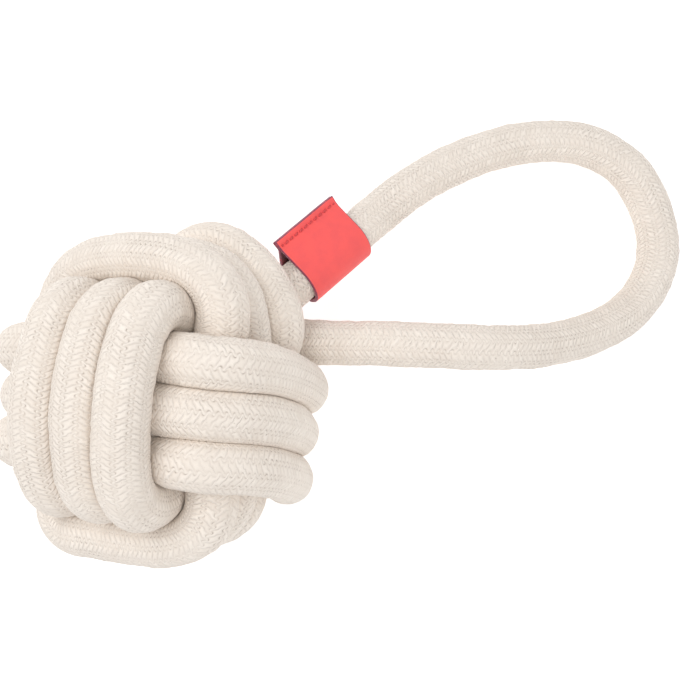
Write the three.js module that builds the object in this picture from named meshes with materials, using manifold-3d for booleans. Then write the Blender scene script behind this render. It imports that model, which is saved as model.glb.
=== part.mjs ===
// Rope dog toy: a ball tied as a three-turn monkey's fist, a loop handle of the same rope, and a leather
// tab folded round one leg of the handle. Millimetres, +Z up. The toy lies as it does when it is put down:
// the ball and the far end of the handle touch the ground, and the handle reaches out along +X.
import * as THREE from "three";
import { mergeVertices } from "three/addons/utils/BufferGeometryUtils.js";
import Module from "manifold-3d";

const wasm = await Module();
wasm.setup();

// Rope. The turns of the ball are pulled tight, which draws the rope down a little.
const ROPE_DIAMETER = 12;
const TURN_DIAMETER = 11;
const TURN_GAP = 0.5;
const JOIN_GAP = 0.3;
const TURNS = 3;
const TURN_STEPS = 24;
const TURN_SIDES = 6;
const HANDLE_SIDES = 12;
const HANDLE_STEP_SHARE = 0.5; // of the rope's diameter
const FLAT_SHARE = 0.1; // of a rope's diameter, pressed flat where the toy rests

// Core of stuffing that the turns are tied round, with a socket for the end of the rope.
const CORE_DIAMETER = 33.7;
const CORE_GAP = 0.3;
const CORE_SIDES = 28;
const SOCKET_CLEARANCE = 0.35;
const ROPE_END_RADIUS = 4; // from the ball's centre to the cut end of the upper leg

const BALL_TURN = 29.5; // degrees about +Y that the ball lies turned

// Upper leg: straight out of the ball's corner, in degrees from +X and below level.
const LEG_BEARING = 42;
const LEG_DROP = 19;
const LEG_STRAIGHT = 80; // from the ball's centre to where the handle starts to bend

// Handle, from the ball's centre: reach and half-way line across, its width, and its rise off the ground.
const HANDLE_REACH = 140;
const HANDLE_MIDDLE = 42;
const HANDLE_WIDTH = 60;
const HANDLE_RISE = 34;
const HANDLE_ROUTE_SHARES = [
  [0.47, 0.27, 0.245],
  [0.56, 0.39, 0.17],
  [0.65, 0.47, 0.12],
  [0.75, 0.51, 0.09],
  [0.85, 0.485, 0.07],
  [0.93, 0.37, 0.05],
  [0.98, 0.18, 0.02],
  [0.997, -0.03, 0],
  [0.975, -0.19, 0.03],
  [0.92, -0.335, 0.12],
  [0.83, -0.435, 0.32],
  [0.72, -0.488, 0.6],
  [0.61, -0.497, 0.86],
  [0.51, -0.489, 0.93],
  [0.43, -0.481, 0.89],
];

// Leather tab: one strip folded round the leg and sewn along its two edges.
const TAB_LENGTH = 21.4;
const LEATHER = 1.1;
const TAB_CLEARANCE = 0.35;
const SEAM_REACH = 13.4; // from the leg's axis to the cut edges
const SEAM_WIDTH = 2.9; // of the two layers lying together
const SEAM_SLIT = 0.25;
const FOLD_RADIUS = 1.6;
const FOLD_STEPS = 4;
const TAB_STEP = 10; // degrees
const TAB_ROLL = 32; // degrees that the seam stands above level
const TAB_SEAT_GAP = 0.4;

// Stitching: a needle thread on the upper layer and a bobbin thread on the lower one, which dip into
// shared holes.
const THREAD_DIAMETER = 0.5;
const THREAD_GAP = 0.15;
const THREAD_SIDES = 6;
const THREAD_DIP = 0.3;
const STITCH_PITCH = 1.8;
const STITCH_INSET = 1.9; // from the cut edges
const STITCH_MARGIN = 1;
const HOLE_DIAMETER = 1.1;
const HOLE_SIDES = 8;
const HOLE_SHOULDER_SHARE = 0.82; // of a hole's radius, where the thread starts to dip
const OVERRUN = 1; // of every cut past the face that it leaves

// The rope's way through the ball before it is drawn tight, in rope spacings on the ball's own axes.
const OUTER_SHARE = 2.81; // half a turn's outer width
const INNER_SHARE = 1.918; // half its inner width
const PITCH_SHARE = 1.04;
const LEVEL_SHARE = 1.258; // of the pitch, which the outer turns are laid apart
const LOWER_LEG_SHARE = 3.3; // where the lower leg leaves the ball
const LOWER_LEG_LEVEL_SHARE = 1.17;
const LOWER_LEG_POINT_SHARES = [0, 0.5, 1]; // of the rope's diameter, inwards from there
const OVER_CORNER_SHARES = [
  [-2.64, -2.16, -1.52],
  [-1.84, -2.88, -1.6],
];
const INSIDE_CORNER_SHARES = [[1.52, -1.6, -1.76]];
const FIRST_LEAD_STEPS = 2; // steps of a turn that each winding starts early or goes on
const FIRST_TAIL_STEPS = 2;
const SECOND_LEAD_STEPS = 1;
const SECOND_TAIL_STEPS = 2;
const THIRD_LEAD_STEPS = 1;
const THIRD_TAIL_STEPS = 6;

// How the turns are drawn tight: shares moved at each step, and radii in rope spacings.
const DRAW_STEPS = 500;
const SETTLE_STEPS = 200;
const TENSION_SHARE = 0.195;
const STIFFNESS_SHARE = 0.041;
const CLOSING_SHARE = 0.074;
const CLOSING_RADIUS_SHARE = 2.744;
const CLOSING_REACH_SHARE = 0.64;
const PUSH_SHARE = 1.3;
const PUSH_PASSES = 2;
const NEAR_SHARE = 2.1;
const NEAR_REFRESH = 10;
const SKIP = 3; // neighbouring steps of one bend, which can't touch
const PARALLEL_SHARE = 1e-9; // steps more nearly parallel than this touch at their middles
const MERGE_DISTANCE = 1e-4;

const spacing = TURN_DIAMETER + TURN_GAP;
const turnRadius = TURN_DIAMETER / 2;
const ropeRadius = ROPE_DIAMETER / 2;
const handleStep = HANDLE_STEP_SHARE * ROPE_DIAMETER;
const radians = THREE.MathUtils.degToRad;
const vector = (x, y, z) => new THREE.Vector3(x, y, z);

// From the ball's own axes, about which the three windings lie, to the toy's.
const ballTurn = new THREE.Matrix4()
  .makeRotationY(radians(BALL_TURN))
  .multiply(
    new THREE.Matrix4().makeBasis(
      vector(-1, 0, -1).normalize(),
      vector(-1, 0, 1).normalize(),
      vector(0, 1, 0),
    ),
  );
const ballTurnBack = ballTurn.clone().invert();

const legDirection = vector(
  Math.cos(radians(LEG_BEARING)) * Math.cos(radians(LEG_DROP)),
  Math.sin(radians(LEG_BEARING)) * Math.cos(radians(LEG_DROP)),
  -Math.sin(radians(LEG_DROP)),
);

// One turn before it is drawn tight: a rounded rectangle, u across its outer sides and v across its inner
// ones, in even steps from the middle of the inner side at -v, towards +u.
function turnOutline() {
  const outer = OUTER_SHARE * spacing;
  const inner = INNER_SHARE * spacing;
  const bend = spacing;
  const outline = new THREE.Path();
  outline.moveTo(0, -inner);
  outline.lineTo(outer - bend, -inner);
  outline.absarc(outer - bend, bend - inner, bend, -Math.PI / 2, 0);
  outline.absarc(outer - bend, inner - bend, bend, 0, Math.PI / 2);
  outline.absarc(bend - outer, inner - bend, bend, Math.PI / 2, Math.PI);
  outline.absarc(bend - outer, bend - inner, bend, Math.PI, 1.5 * Math.PI);
  outline.lineTo(0, -inner);
  return outline.getSpacedPoints(TURN_STEPS).slice(0, TURN_STEPS);
}

// A winding from one step of a turn to another, its level moving evenly from one side to the other; place
// puts u, v and the level on the ball's axes.
function band(outline, from, to, level, place) {
  const count = to - from;
  return Array.from({ length: count + 1 }, (_, i) => {
    const at = outline[(from + i + TURN_STEPS) % TURN_STEPS];
    return place(at.x, at.y, level * (1 - (2 * i) / count));
  });
}

// The rope's way through the ball: in as the lower leg, three turns about z, over a corner into three turns
// about x, and inside the next corner into three turns about y, whose end is tucked under.
function looseRoute() {
  const outline = turnOutline();
  const pitch = PITCH_SHARE * spacing;
  const outermost = LEVEL_SHARE * pitch * ((TURNS - 1) / 2);
  const turns = TURNS * TURN_STEPS;
  const quarter = TURN_STEPS / 4;
  const lowerLeg = LOWER_LEG_POINT_SHARES.map((share) =>
    vector(
      share * TURN_DIAMETER - LOWER_LEG_SHARE * spacing,
      -INNER_SHARE * spacing,
      LOWER_LEG_LEVEL_SHARE * spacing,
    ),
  );
  const corner = (shares) => shares.map((at) => vector(...at).multiplyScalar(spacing));
  const first = band(
    outline,
    -FIRST_LEAD_STEPS,
    turns - quarter + FIRST_TAIL_STEPS,
    outermost,
    (u, v, w) => vector(u, v, w),
  );
  const over = corner(OVER_CORNER_SHARES);
  const second = band(
    outline,
    quarter - SECOND_LEAD_STEPS,
    turns + SECOND_TAIL_STEPS,
    -outermost,
    (u, v, w) => vector(w, -u, v),
  );
  const inside = corner(INSIDE_CORNER_SHARES);
  const third = band(
    outline,
    -THIRD_LEAD_STEPS,
    turns - quarter + THIRD_TAIL_STEPS,
    -outermost,
    (u, v, w) => vector(-v, w, u),
  );
  const firstJoin = lowerLeg.length + first.length;
  return {
    points: [...lowerLeg, ...first, ...over, ...second, ...inside, ...third],
    pinned: lowerLeg.length,
    firstJoin,
    secondJoin: firstJoin + over.length + second.length,
  };
}

// Closest points of two straight steps: how far along each they are, and the way from the second to the
// first.
function closest(a, b, c, d) {
  const p = vector().subVectors(b, a);
  const q = vector().subVectors(d, c);
  const r = vector().subVectors(a, c);
  const pp = p.dot(p);
  const qq = q.dot(q);
  const pq = p.dot(q);
  const pr = p.dot(r);
  const qr = q.dot(r);
  const determinant = pp * qq - pq * pq;
  const clamp = (x) => Math.min(1, Math.max(0, x));
  const parallel = determinant <= PARALLEL_SHARE * pp * qq;
  const guess = parallel ? 0.5 : (pq * qr - pr * qq) / determinant;
  const t0 = clamp((pq * clamp(guess) + qr) / qq);
  const s = clamp((pq * t0 - pr) / pp);
  const t = clamp((pq * s + qr) / qq);
  const way = r.addScaledVector(p, s).addScaledVector(q, -t);
  return { s, t, way, distance: way.length() };
}

// Draws the turns tight round the core: tension and stiffness smooth the rope, closing pulls it in, and
// contact holds it clear of itself, of the straight upper leg and of the core. The last steps only settle
// contact.
function drawTight(route, pinned, leg, steps) {
  const points = route.map((p) => p.clone());
  const last = points.length - 1;
  const legSpacing = (TURN_DIAMETER + ROPE_DIAMETER) / 2 + TURN_GAP;
  const coreReach = CORE_DIAMETER / 2 + CORE_GAP + turnRadius;
  const moves = points.map(() => vector());
  const weights = points.map(() => 0);
  let near = [];
  const push = (i, share, way, amount) => {
    moves[i].addScaledVector(way, amount * share);
    weights[i] += share;
  };
  for (let step = 0; step < steps + SETTLE_STEPS; step++) {
    const strength = step < steps ? 1 - step / steps : 0;
    if (strength > 0) {
      const before = points.map((p) => p.clone());
      for (let i = pinned; i < last; i++) {
        const smooth = vector()
          .addVectors(before[i - 1], before[i + 1])
          .multiplyScalar(0.5)
          .sub(before[i]);
        points[i].addScaledVector(smooth, strength * TENSION_SHARE);
        if (i < last - 1) {
          const wide = vector()
            .addVectors(before[i - 2], before[i + 2])
            .multiplyScalar(0.5)
            .sub(before[i]);
          const straighten = smooth.multiplyScalar(2).addScaledVector(wide, -0.5);
          points[i].addScaledVector(straighten, strength * STIFFNESS_SHARE);
        }
      }
      for (let i = pinned; i <= last; i++) {
        const radius = points[i].length();
        const beyond = radius - CLOSING_RADIUS_SHARE * spacing;
        const reach = Math.min(CLOSING_REACH_SHARE * spacing, Math.max(0, beyond));
        points[i].multiplyScalar(1 - (strength * CLOSING_SHARE * reach) / radius);
      }
    }
    if (step % NEAR_REFRESH === 0) {
      near = [];
      const middles = points
        .slice(1)
        .map((p, i) => vector().addVectors(p, points[i]).multiplyScalar(0.5));
      for (let i = 0; i < last; i++)
        for (let j = i + SKIP; j < last; j++)
          if (middles[i].distanceTo(middles[j]) < NEAR_SHARE * spacing) near.push([i, j]);
    }
    for (let pass = 0; pass < PUSH_PASSES; pass++) {
      moves.forEach((m) => m.set(0, 0, 0));
      weights.fill(0);
      for (const [i, j] of near) {
        const c = closest(points[i], points[i + 1], points[j], points[j + 1]);
        if (c.distance >= spacing) continue;
        const amount = (0.5 * (spacing - c.distance)) / c.distance;
        push(i, 1 - c.s, c.way, amount);
        push(i + 1, c.s, c.way, amount);
        push(j, 1 - c.t, c.way, -amount);
        push(j + 1, c.t, c.way, -amount);
      }
      for (let i = 0; i < last; i++) {
        const c = closest(points[i], points[i + 1], leg[0], leg[1]);
        if (c.distance < legSpacing) {
          const amount = (legSpacing - c.distance) / c.distance;
          push(i, 1 - c.s, c.way, amount);
          push(i + 1, c.s, c.way, amount);
        }
        const along = vector().subVectors(points[i + 1], points[i]);
        const share = THREE.MathUtils.clamp(-points[i].dot(along) / along.lengthSq(), 0, 1);
        const inmost = along.multiplyScalar(share).add(points[i]);
        const radius = inmost.length();
        if (radius < coreReach) {
          const amount = (coreReach - radius) / radius;
          push(i, 1 - share, inmost, amount);
          push(i + 1, share, inmost, amount);
        }
      }
      for (let i = pinned; i <= last; i++)
        if (weights[i] > 0)
          points[i].addScaledVector(moves[i], PUSH_SHARE / Math.max(1, weights[i]));
    }
  }
  return points;
}

// The same way in as many even steps, keeping its straight start.
function evenSteps(points, pinned) {
  const free = points.slice(pinned - 1);
  const curve = new THREE.CatmullRomCurve3(free);
  return [...points.slice(0, pinned), ...curve.getSpacedPoints(free.length - 1).slice(1)];
}

// The least distance between steps of one rope that are at least skip steps apart.
function leastDistance(points, skip) {
  let least = Infinity;
  for (let i = 0; i < points.length - 1; i++)
    for (let j = i + skip; j < points.length - 1; j++) {
      const c = closest(points[i], points[i + 1], points[j], points[j + 1]);
      least = Math.min(least, c.distance);
    }
  return least;
}

// A direction square to another one.
function squareTo(way) {
  const aside = Math.abs(way.z) < 0.9 ? vector(0, 0, 1) : vector(1, 0, 0);
  return aside.cross(way).normalize();
}

// A closed tube of even section along points, its rings square to the way, carried along without twisting.
function tube(points, diameter, sides) {
  const last = points.length - 1;
  const tangents = points.map((p, i) => {
    const ahead = vector().subVectors(points[Math.min(i + 1, last)], p).normalize();
    const behind = vector().subVectors(p, points[Math.max(i - 1, 0)]).normalize();
    return ahead.add(behind).normalize();
  });
  const positions = [];
  const faces = [];
  let across = squareTo(tangents[0]);
  points.forEach((p, i) => {
    if (i > 0) {
      const turn = new THREE.Quaternion().setFromUnitVectors(tangents[i - 1], tangents[i]);
      across = across.applyQuaternion(turn).normalize();
    }
    const up = vector().crossVectors(tangents[i], across);
    for (let k = 0; k < sides; k++) {
      const angle = (2 * Math.PI * (k + 0.5)) / sides;
      const at = p
        .clone()
        .addScaledVector(across, (Math.cos(angle) * diameter) / 2)
        .addScaledVector(up, (Math.sin(angle) * diameter) / 2);
      positions.push(at.x, at.y, at.z);
    }
  });
  for (let i = 0; i < last; i++)
    for (let k = 0; k < sides; k++) {
      const a = i * sides + k;
      const b = i * sides + ((k + 1) % sides);
      faces.push(a, b, b + sides, a, b + sides, a + sides);
    }
  for (let k = 1; k < sides - 1; k++) {
    faces.push(0, k + 1, k);
    faces.push(last * sides, last * sides + k, last * sides + k + 1);
  }
  const geometry = new THREE.BufferGeometry();
  geometry.setAttribute("position", new THREE.Float32BufferAttribute(positions, 3));
  geometry.setIndex(faces);
  return geometry;
}

// Booleans on closed geometries.
function solid(geometry) {
  const bare = new THREE.BufferGeometry();
  bare.setAttribute("position", geometry.getAttribute("position").clone());
  bare.setIndex(geometry.index);
  const merged = mergeVertices(bare, MERGE_DISTANCE);
  return new wasm.Manifold(
    new wasm.Mesh({
      numProp: 3,
      vertProperties: merged.attributes.position.array,
      triVerts: new Uint32Array(merged.index.array),
    }),
  );
}
function geometryOf(body) {
  const mesh = body.getMesh();
  const positions = new Float32Array(mesh.numVert * 3);
  for (let i = 0; i < mesh.numVert; i++)
    positions.set(mesh.vertProperties.subarray(i * mesh.numProp, i * mesh.numProp + 3), i * 3);
  const geometry = new THREE.BufferGeometry();
  geometry.setAttribute("position", new THREE.BufferAttribute(positions, 3));
  geometry.setIndex(new THREE.BufferAttribute(new Uint32Array(mesh.triVerts), 1));
  return geometry;
}

// A rope pressed flat where it rests on the ground.
function pressedFlat(geometry, ground) {
  geometry.computeBoundingBox();
  const box = geometry.boundingBox;
  if (box.min.z >= ground) return geometry;
  const size = box.getSize(vector());
  const centre = box.getCenter(vector());
  const below = new THREE.BoxGeometry(
    size.x + 2 * OVERRUN,
    size.y + 2 * OVERRUN,
    ground - box.min.z + OVERRUN,
  ).translate(centre.x, centre.y, (ground + box.min.z - OVERRUN) / 2);
  return geometryOf(solid(geometry).subtract(solid(below)));
}

// The handle: out of the core, straight through the tab, round the loop and back to the lower leg's join.
function handlePoints(joinEnd, joinDirection, rest) {
  const start = legDirection.clone().multiplyScalar(ROPE_END_RADIUS);
  const straight = legDirection.clone().multiplyScalar(LEG_STRAIGHT);
  const before = straight.clone().addScaledVector(legDirection, -ROPE_DIAMETER);
  const route = HANDLE_ROUTE_SHARES.map(([x, y, z]) =>
    vector(x * HANDLE_REACH, HANDLE_MIDDLE + y * HANDLE_WIDTH, rest + z * HANDLE_RISE),
  );
  const lead = joinEnd.clone().addScaledVector(joinDirection, ROPE_DIAMETER);
  const curve = new THREE.CatmullRomCurve3([before, straight, ...route, lead, joinEnd]);
  const bent = curve.getSpacedPoints(Math.round(curve.getLength() / handleStep));
  const endSteps = Math.ceil(ROPE_DIAMETER / handleStep) + 1;
  return [start, straight, ...bent.slice(endSteps, -endSteps), lead, joinEnd];
}

// The tab's section across the leg: the middle line of the leather, from one cut edge round the leg to the
// other.
function tabMiddleLine() {
  const radius = ropeRadius + TAB_CLEARANCE + LEATHER / 2;
  const half = (LEATHER + SEAM_SLIT) / 2;
  const bendAt = SEAM_REACH - SEAM_WIDTH;
  const touch = Math.atan2(half, bendAt) + Math.acos(radius / Math.hypot(bendAt, half));
  const slope = Math.PI / 2 - touch;
  const cut = FOLD_RADIUS * Math.tan(slope / 2);
  const seam = [new THREE.Vector2(SEAM_REACH, half)];
  for (let i = 0; i <= FOLD_STEPS; i++) {
    const angle = -Math.PI / 2 - (slope * i) / FOLD_STEPS;
    const x = bendAt + cut + FOLD_RADIUS * Math.cos(angle);
    const y = half + FOLD_RADIUS + FOLD_RADIUS * Math.sin(angle);
    seam.push(new THREE.Vector2(x, y));
  }
  const sweep = 2 * (Math.PI - touch);
  const steps = Math.round(sweep / radians(TAB_STEP));
  const round = Array.from({ length: steps + 1 }, (_, i) => {
    const angle = touch + (sweep * i) / steps;
    return new THREE.Vector2(radius * Math.cos(angle), radius * Math.sin(angle));
  });
  const otherSeam = seam.map((p) => new THREE.Vector2(p.x, -p.y)).reverse();
  return [...seam, ...round, ...otherSeam];
}

// A strip's outline: its middle line set off by half its thickness to both sides.
function stripOutline(line, thickness) {
  const sides = [1, -1].map((side) =>
    line.map((p, i) => {
      const ahead = (line[i + 1] ?? p).clone().sub(p);
      const behind = p.clone().sub(line[i - 1] ?? p);
      ahead.normalize();
      behind.normalize();
      const way = ahead.clone().add(behind).normalize();
      const solo = ahead.length() === 0 || behind.length() === 0;
      const stretch = solo ? 1 : 1 / way.dot(ahead);
      const off = (side * stretch * thickness) / 2;
      return new THREE.Vector2(p.x + way.y * off, p.y - way.x * off);
    }),
  );
  return new THREE.Shape([...sides[0], ...sides[1].reverse()]);
}

const stitchCount = Math.floor((TAB_LENGTH - 2 * STITCH_MARGIN) / STITCH_PITCH) + 1;
const stitchStart = (TAB_LENGTH - (stitchCount - 1) * STITCH_PITCH) / 2;
const stitchAt = SEAM_REACH - STITCH_INSET;

function tabGeometry() {
  const sheet = new THREE.ExtrudeGeometry(stripOutline(tabMiddleLine(), LEATHER), {
    depth: TAB_LENGTH,
    bevelEnabled: false,
  });
  let body = solid(sheet);
  const depth = 2 * LEATHER + SEAM_SLIT + 2 * OVERRUN;
  for (let i = 0; i < stitchCount; i++) {
    const hole = new THREE.CylinderGeometry(
      HOLE_DIAMETER / 2,
      HOLE_DIAMETER / 2,
      depth,
      HOLE_SIDES,
    ).translate(stitchAt, 0, stitchStart + i * STITCH_PITCH);
    body = body.subtract(solid(hole));
  }
  return geometryOf(body);
}

// One thread of the seam, on the upper (+1) or lower (-1) layer: level between holes, dipping into each.
function threadGeometry(side) {
  const surface = LEATHER + SEAM_SLIT / 2;
  const level = surface + THREAD_GAP + THREAD_DIAMETER / 2;
  const shoulder = HOLE_SHOULDER_SHARE * (HOLE_DIAMETER / 2);
  const at = (along, height) => vector(stitchAt, side * height, along);
  const points = [at(stitchStart - STITCH_PITCH / 2, level)];
  for (let i = 0; i < stitchCount; i++) {
    const hole = stitchStart + i * STITCH_PITCH;
    points.push(at(hole - shoulder, level));
    points.push(at(hole, surface - THREAD_DIP));
    points.push(at(hole + shoulder, level));
  }
  points.push(at(stitchStart + (stitchCount - 0.5) * STITCH_PITCH, level));
  return tube(points, THREAD_DIAMETER, THREAD_SIDES);
}

// The core: a ball with a blind socket for the upper leg's end, about the y axis of a lathe.
function coreGeometry() {
  const radius = CORE_DIAMETER / 2;
  const socket = ropeRadius + SOCKET_CLEARANCE;
  const mouth = Math.asin(socket / radius);
  const arcSteps = CORE_SIDES / 2;
  const profile = [];
  for (let i = 0; i <= arcSteps; i++) {
    const angle = -Math.PI / 2 + ((Math.PI - mouth) * i) / arcSteps;
    const off = i === 0 ? 0 : radius * Math.cos(angle);
    profile.push(new THREE.Vector2(off, radius * Math.sin(angle)));
  }
  const floor = ROPE_END_RADIUS - JOIN_GAP;
  profile.push(new THREE.Vector2(socket, floor), new THREE.Vector2(0, floor));
  return new THREE.LatheGeometry(profile, CORE_SIDES);
}

const matt = (color, roughness) =>
  new THREE.MeshStandardMaterial({ color, roughness, metalness: 0 });
const materials = {
  rope: matt(0xe6dccf, 0.95),
  core: matt(0xd8d0c2, 0.95),
  leather: matt(0xf5605f, 0.55),
  thread: matt(0xa33a44, 0.7),
};
function mesh(name, geometry, material) {
  const made = new THREE.Mesh(geometry, material);
  made.name = name;
  made.geometry.computeVertexNormals();
  return made;
}

// The ball's turns, worked out on its own axes and then laid as the ball lies.
const loose = looseRoute();
const legOnBall = legDirection.clone().applyMatrix4(ballTurnBack);
const legLine = [
  legOnBall.clone().multiplyScalar(CORE_DIAMETER / 2),
  legOnBall.clone().multiplyScalar(LEG_STRAIGHT),
];
const tight = drawTight(loose.points, loose.pinned, legLine, DRAW_STEPS);
const settled = drawTight(evenSteps(tight, loose.pinned), loose.pinned, legLine, 0);
const drawn = settled.map((p) => p.applyMatrix4(ballTurn));
const middleOf = (i) => vector().addVectors(drawn[i - 1], drawn[i]).multiplyScalar(0.5);
const wayTo = (i) => vector().subVectors(drawn[i], drawn[i - 1]).normalize();
const winding = (from, to) => {
  const points = drawn.slice(from, to);
  if (from > 0) points.unshift(middleOf(from).addScaledVector(wayTo(from), JOIN_GAP / 2));
  if (to < drawn.length) points.push(middleOf(to).addScaledVector(wayTo(to), -JOIN_GAP / 2));
  return tube(points, TURN_DIAMETER, TURN_SIDES);
};
const firstEnd = loose.firstJoin + 1;
const firstTurns = winding(0, firstEnd);
const secondTurns = winding(firstEnd, loose.secondJoin);
const thirdTurns = winding(loose.secondJoin, drawn.length);
const leastGap = leastDistance(drawn, SKIP) - TURN_DIAMETER;
console.log("least gap between the ball's turns: " + leastGap.toFixed(2) + " mm");

// The ground: a tenth of the rope's diameter above the lowest turn.
const turnGeometries = [firstTurns, secondTurns, thirdTurns];
turnGeometries.forEach((g) => g.computeBoundingBox());
const lowest = Math.min(...turnGeometries.map((g) => g.boundingBox.min.z));
const ground = lowest + FLAT_SHARE * TURN_DIAMETER;
const rest = ground + ropeRadius - FLAT_SHARE * ROPE_DIAMETER;

const joinDirection = vector().subVectors(drawn[0], drawn[1]).normalize();
const joinEnd = drawn[0].clone().addScaledVector(joinDirection, JOIN_GAP);
const handleRoute = handlePoints(joinEnd, joinDirection, rest);
const handleSkip = Math.ceil((2 * ROPE_DIAMETER) / handleStep);
const handleGap = leastDistance(handleRoute, handleSkip) - ROPE_DIAMETER;
console.log("least gap of the handle to itself: " + handleGap.toFixed(2) + " mm");

// The tab rests against the ball: its near end clears every turn that lies within its reach.
const tabReach = SEAM_REACH + turnRadius;
const seat = Math.max(
  ...drawn.map((p) => {
    const along = p.dot(legDirection);
    const off = p.clone().addScaledVector(legDirection, -along).length();
    return off < tabReach ? along + turnRadius : 0;
  }),
);
const seamWay = vector(-Math.sin(radians(LEG_BEARING)), Math.cos(radians(LEG_BEARING)), 0)
  .applyAxisAngle(legDirection, radians(TAB_ROLL));
const acrossSeam = vector().crossVectors(legDirection, seamWay);
const tab = new THREE.Group();
tab.setRotationFromMatrix(new THREE.Matrix4().makeBasis(seamWay, acrossSeam, legDirection));
tab.position.copy(legDirection).multiplyScalar(seat + TAB_SEAT_GAP);
tab.add(
  mesh("leather_tab", tabGeometry(), materials.leather),
  mesh("needle_thread", threadGeometry(1), materials.thread),
  mesh("bobbin_thread", threadGeometry(-1), materials.thread),
);

const core = mesh("core", coreGeometry(), materials.core);
core.quaternion.setFromUnitVectors(vector(0, 1, 0), legDirection);

const handle = tube(handleRoute, ROPE_DIAMETER, HANDLE_SIDES);

const toy = new THREE.Group();
toy.add(
  core,
  mesh("first_turns", pressedFlat(firstTurns, ground), materials.rope),
  mesh("second_turns", pressedFlat(secondTurns, ground), materials.rope),
  mesh("third_turns", pressedFlat(thirdTurns, ground), materials.rope),
  mesh("handle_loop", pressedFlat(handle, ground), materials.rope),
  tab,
);

// The origin is on the ground, below the middle of the toy.
const part = new THREE.Group();
part.add(toy);
const box = new THREE.Box3().setFromObject(toy);
const middle = box.getCenter(vector());
toy.position.set(-middle.x, -middle.y, -ground);

export default part;
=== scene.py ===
"""Rope dog toy: a ball tied from braided cotton rope, its loop handle and its leather tab.

The rope is one long path, tied and drawn tight by the same steps as the solids, then settled again in finer
steps so that its turns press against each other. Lengths in the dataclasses are millimetres; meshes are made
in metres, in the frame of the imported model.
"""

from __future__ import annotations

import logging
import math
from dataclasses import dataclass, field
from enum import Enum

import bpy
import numpy as np
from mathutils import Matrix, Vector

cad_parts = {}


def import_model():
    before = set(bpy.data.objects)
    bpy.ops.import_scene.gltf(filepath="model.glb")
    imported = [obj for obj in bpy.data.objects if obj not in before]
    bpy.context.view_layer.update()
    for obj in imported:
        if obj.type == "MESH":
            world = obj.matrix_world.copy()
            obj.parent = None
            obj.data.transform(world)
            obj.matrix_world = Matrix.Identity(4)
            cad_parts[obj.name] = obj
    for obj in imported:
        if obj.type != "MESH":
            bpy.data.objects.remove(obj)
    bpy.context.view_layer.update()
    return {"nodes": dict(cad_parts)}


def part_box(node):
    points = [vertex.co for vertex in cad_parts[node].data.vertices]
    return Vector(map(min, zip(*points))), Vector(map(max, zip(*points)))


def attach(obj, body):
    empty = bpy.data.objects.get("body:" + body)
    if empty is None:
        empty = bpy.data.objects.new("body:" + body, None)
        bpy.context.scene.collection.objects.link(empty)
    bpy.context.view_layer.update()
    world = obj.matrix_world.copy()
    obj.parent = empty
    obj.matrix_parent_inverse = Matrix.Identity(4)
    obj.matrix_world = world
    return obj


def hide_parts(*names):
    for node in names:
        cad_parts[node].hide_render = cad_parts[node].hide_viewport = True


MM = 0.001
ROPE = 12.0  # the rope's diameter
CORE = 33.7  # the core's diameter
CHORDS = 200  # short steps that a curve's length is summed over
STEEP = 0.8  # the rise of a way from which X, not Z, sets what is across it
TINY = 1e-9  # keeps a division away from 0
Array = np.ndarray
Colour = tuple[float, float, float, float]
Group = bpy.types.NodeTree
Material = bpy.types.Material
Node = bpy.types.Node
Socket = bpy.types.NodeSocket
log = logging.getLogger("rope_toy")


class Layer(Enum):
    """The two layers of leather that the seam joins, by their side of its middle."""

    UPPER = 1
    LOWER = -1


# ---- Vectors and paths


def unit(vectors: Array) -> Array:
    """Each vector, along the last axis, divided by its length."""
    return vectors / np.maximum(np.linalg.norm(vectors, axis=-1, keepdims=True), TINY)


def arc_lengths(points: Array) -> Array:
    """The distance along a path to each of its points: the running sum of its steps, from 0."""
    steps = np.linalg.norm(np.diff(points, axis=0), axis=1)
    return np.concatenate([[0.0], np.cumsum(steps)])


def spline(points: Array, at: Array) -> Array:
    """A centripetal Catmull-Rom curve through points, a cubic on each step between them.

    The end slopes of a step weigh the differences on both sides of its ends by the square roots of the
    distances, and the path is mirrored in its two end points to start and finish.

    Args:
        points: The points that the curve passes through.
        at: Where to read it, from 0 at the first point to 1 at the last.

    Returns:
        One point for each entry of at.
    """
    count = len(points)
    place = np.clip(at, 0.0, 1.0) * (count - 1)
    step = np.minimum(place.astype(int), count - 2)
    share = (place - step)[:, None]
    wide = np.vstack([2 * points[0] - points[1], points, 2 * points[-1] - points[-2]])
    p0, p1, p2, p3 = (wide[step + i] for i in range(4))
    d0, d1, d2 = (
        np.sqrt(np.maximum(np.linalg.norm(b - a, axis=1, keepdims=True), TINY))
        for a, b in ((p0, p1), (p1, p2), (p2, p3))
    )
    start = ((p1 - p0) / d0 - (p2 - p0) / (d0 + d1) + (p2 - p1) / d1) * d1
    stop = ((p2 - p1) / d1 - (p3 - p1) / (d1 + d2) + (p3 - p2) / d2) * d1
    square = 3 * (p2 - p1) - 2 * start - stop
    cube = 2 * (p1 - p2) + start + stop
    return p1 + share * (start + share * (square + share * cube))


def chord_table(points: Array) -> tuple[Array, Array]:
    """Even places on the curve through some points, and the length of its short chords up to each."""
    knots = np.linspace(0.0, 1.0, CHORDS + 1)
    return knots, arc_lengths(spline(points, knots))


def even_on_spline(points: Array, count: int) -> Array:
    """Points in even steps of arc length along the curve through some points.

    Args:
        points: The points that the curve passes through.
        count: How many points to return.

    Returns:
        The points, the first and the last of them at the curve's ends.
    """
    knots, lengths = chord_table(points)
    wanted = np.linspace(0.0, lengths[-1], count)
    return spline(points, np.interp(wanted, lengths, knots))


def tangents_of(points: Array) -> Array:
    """The way along a path at each point: the difference of its two neighbours, made a unit vector."""
    return unit(np.gradient(points, axis=0))


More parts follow.
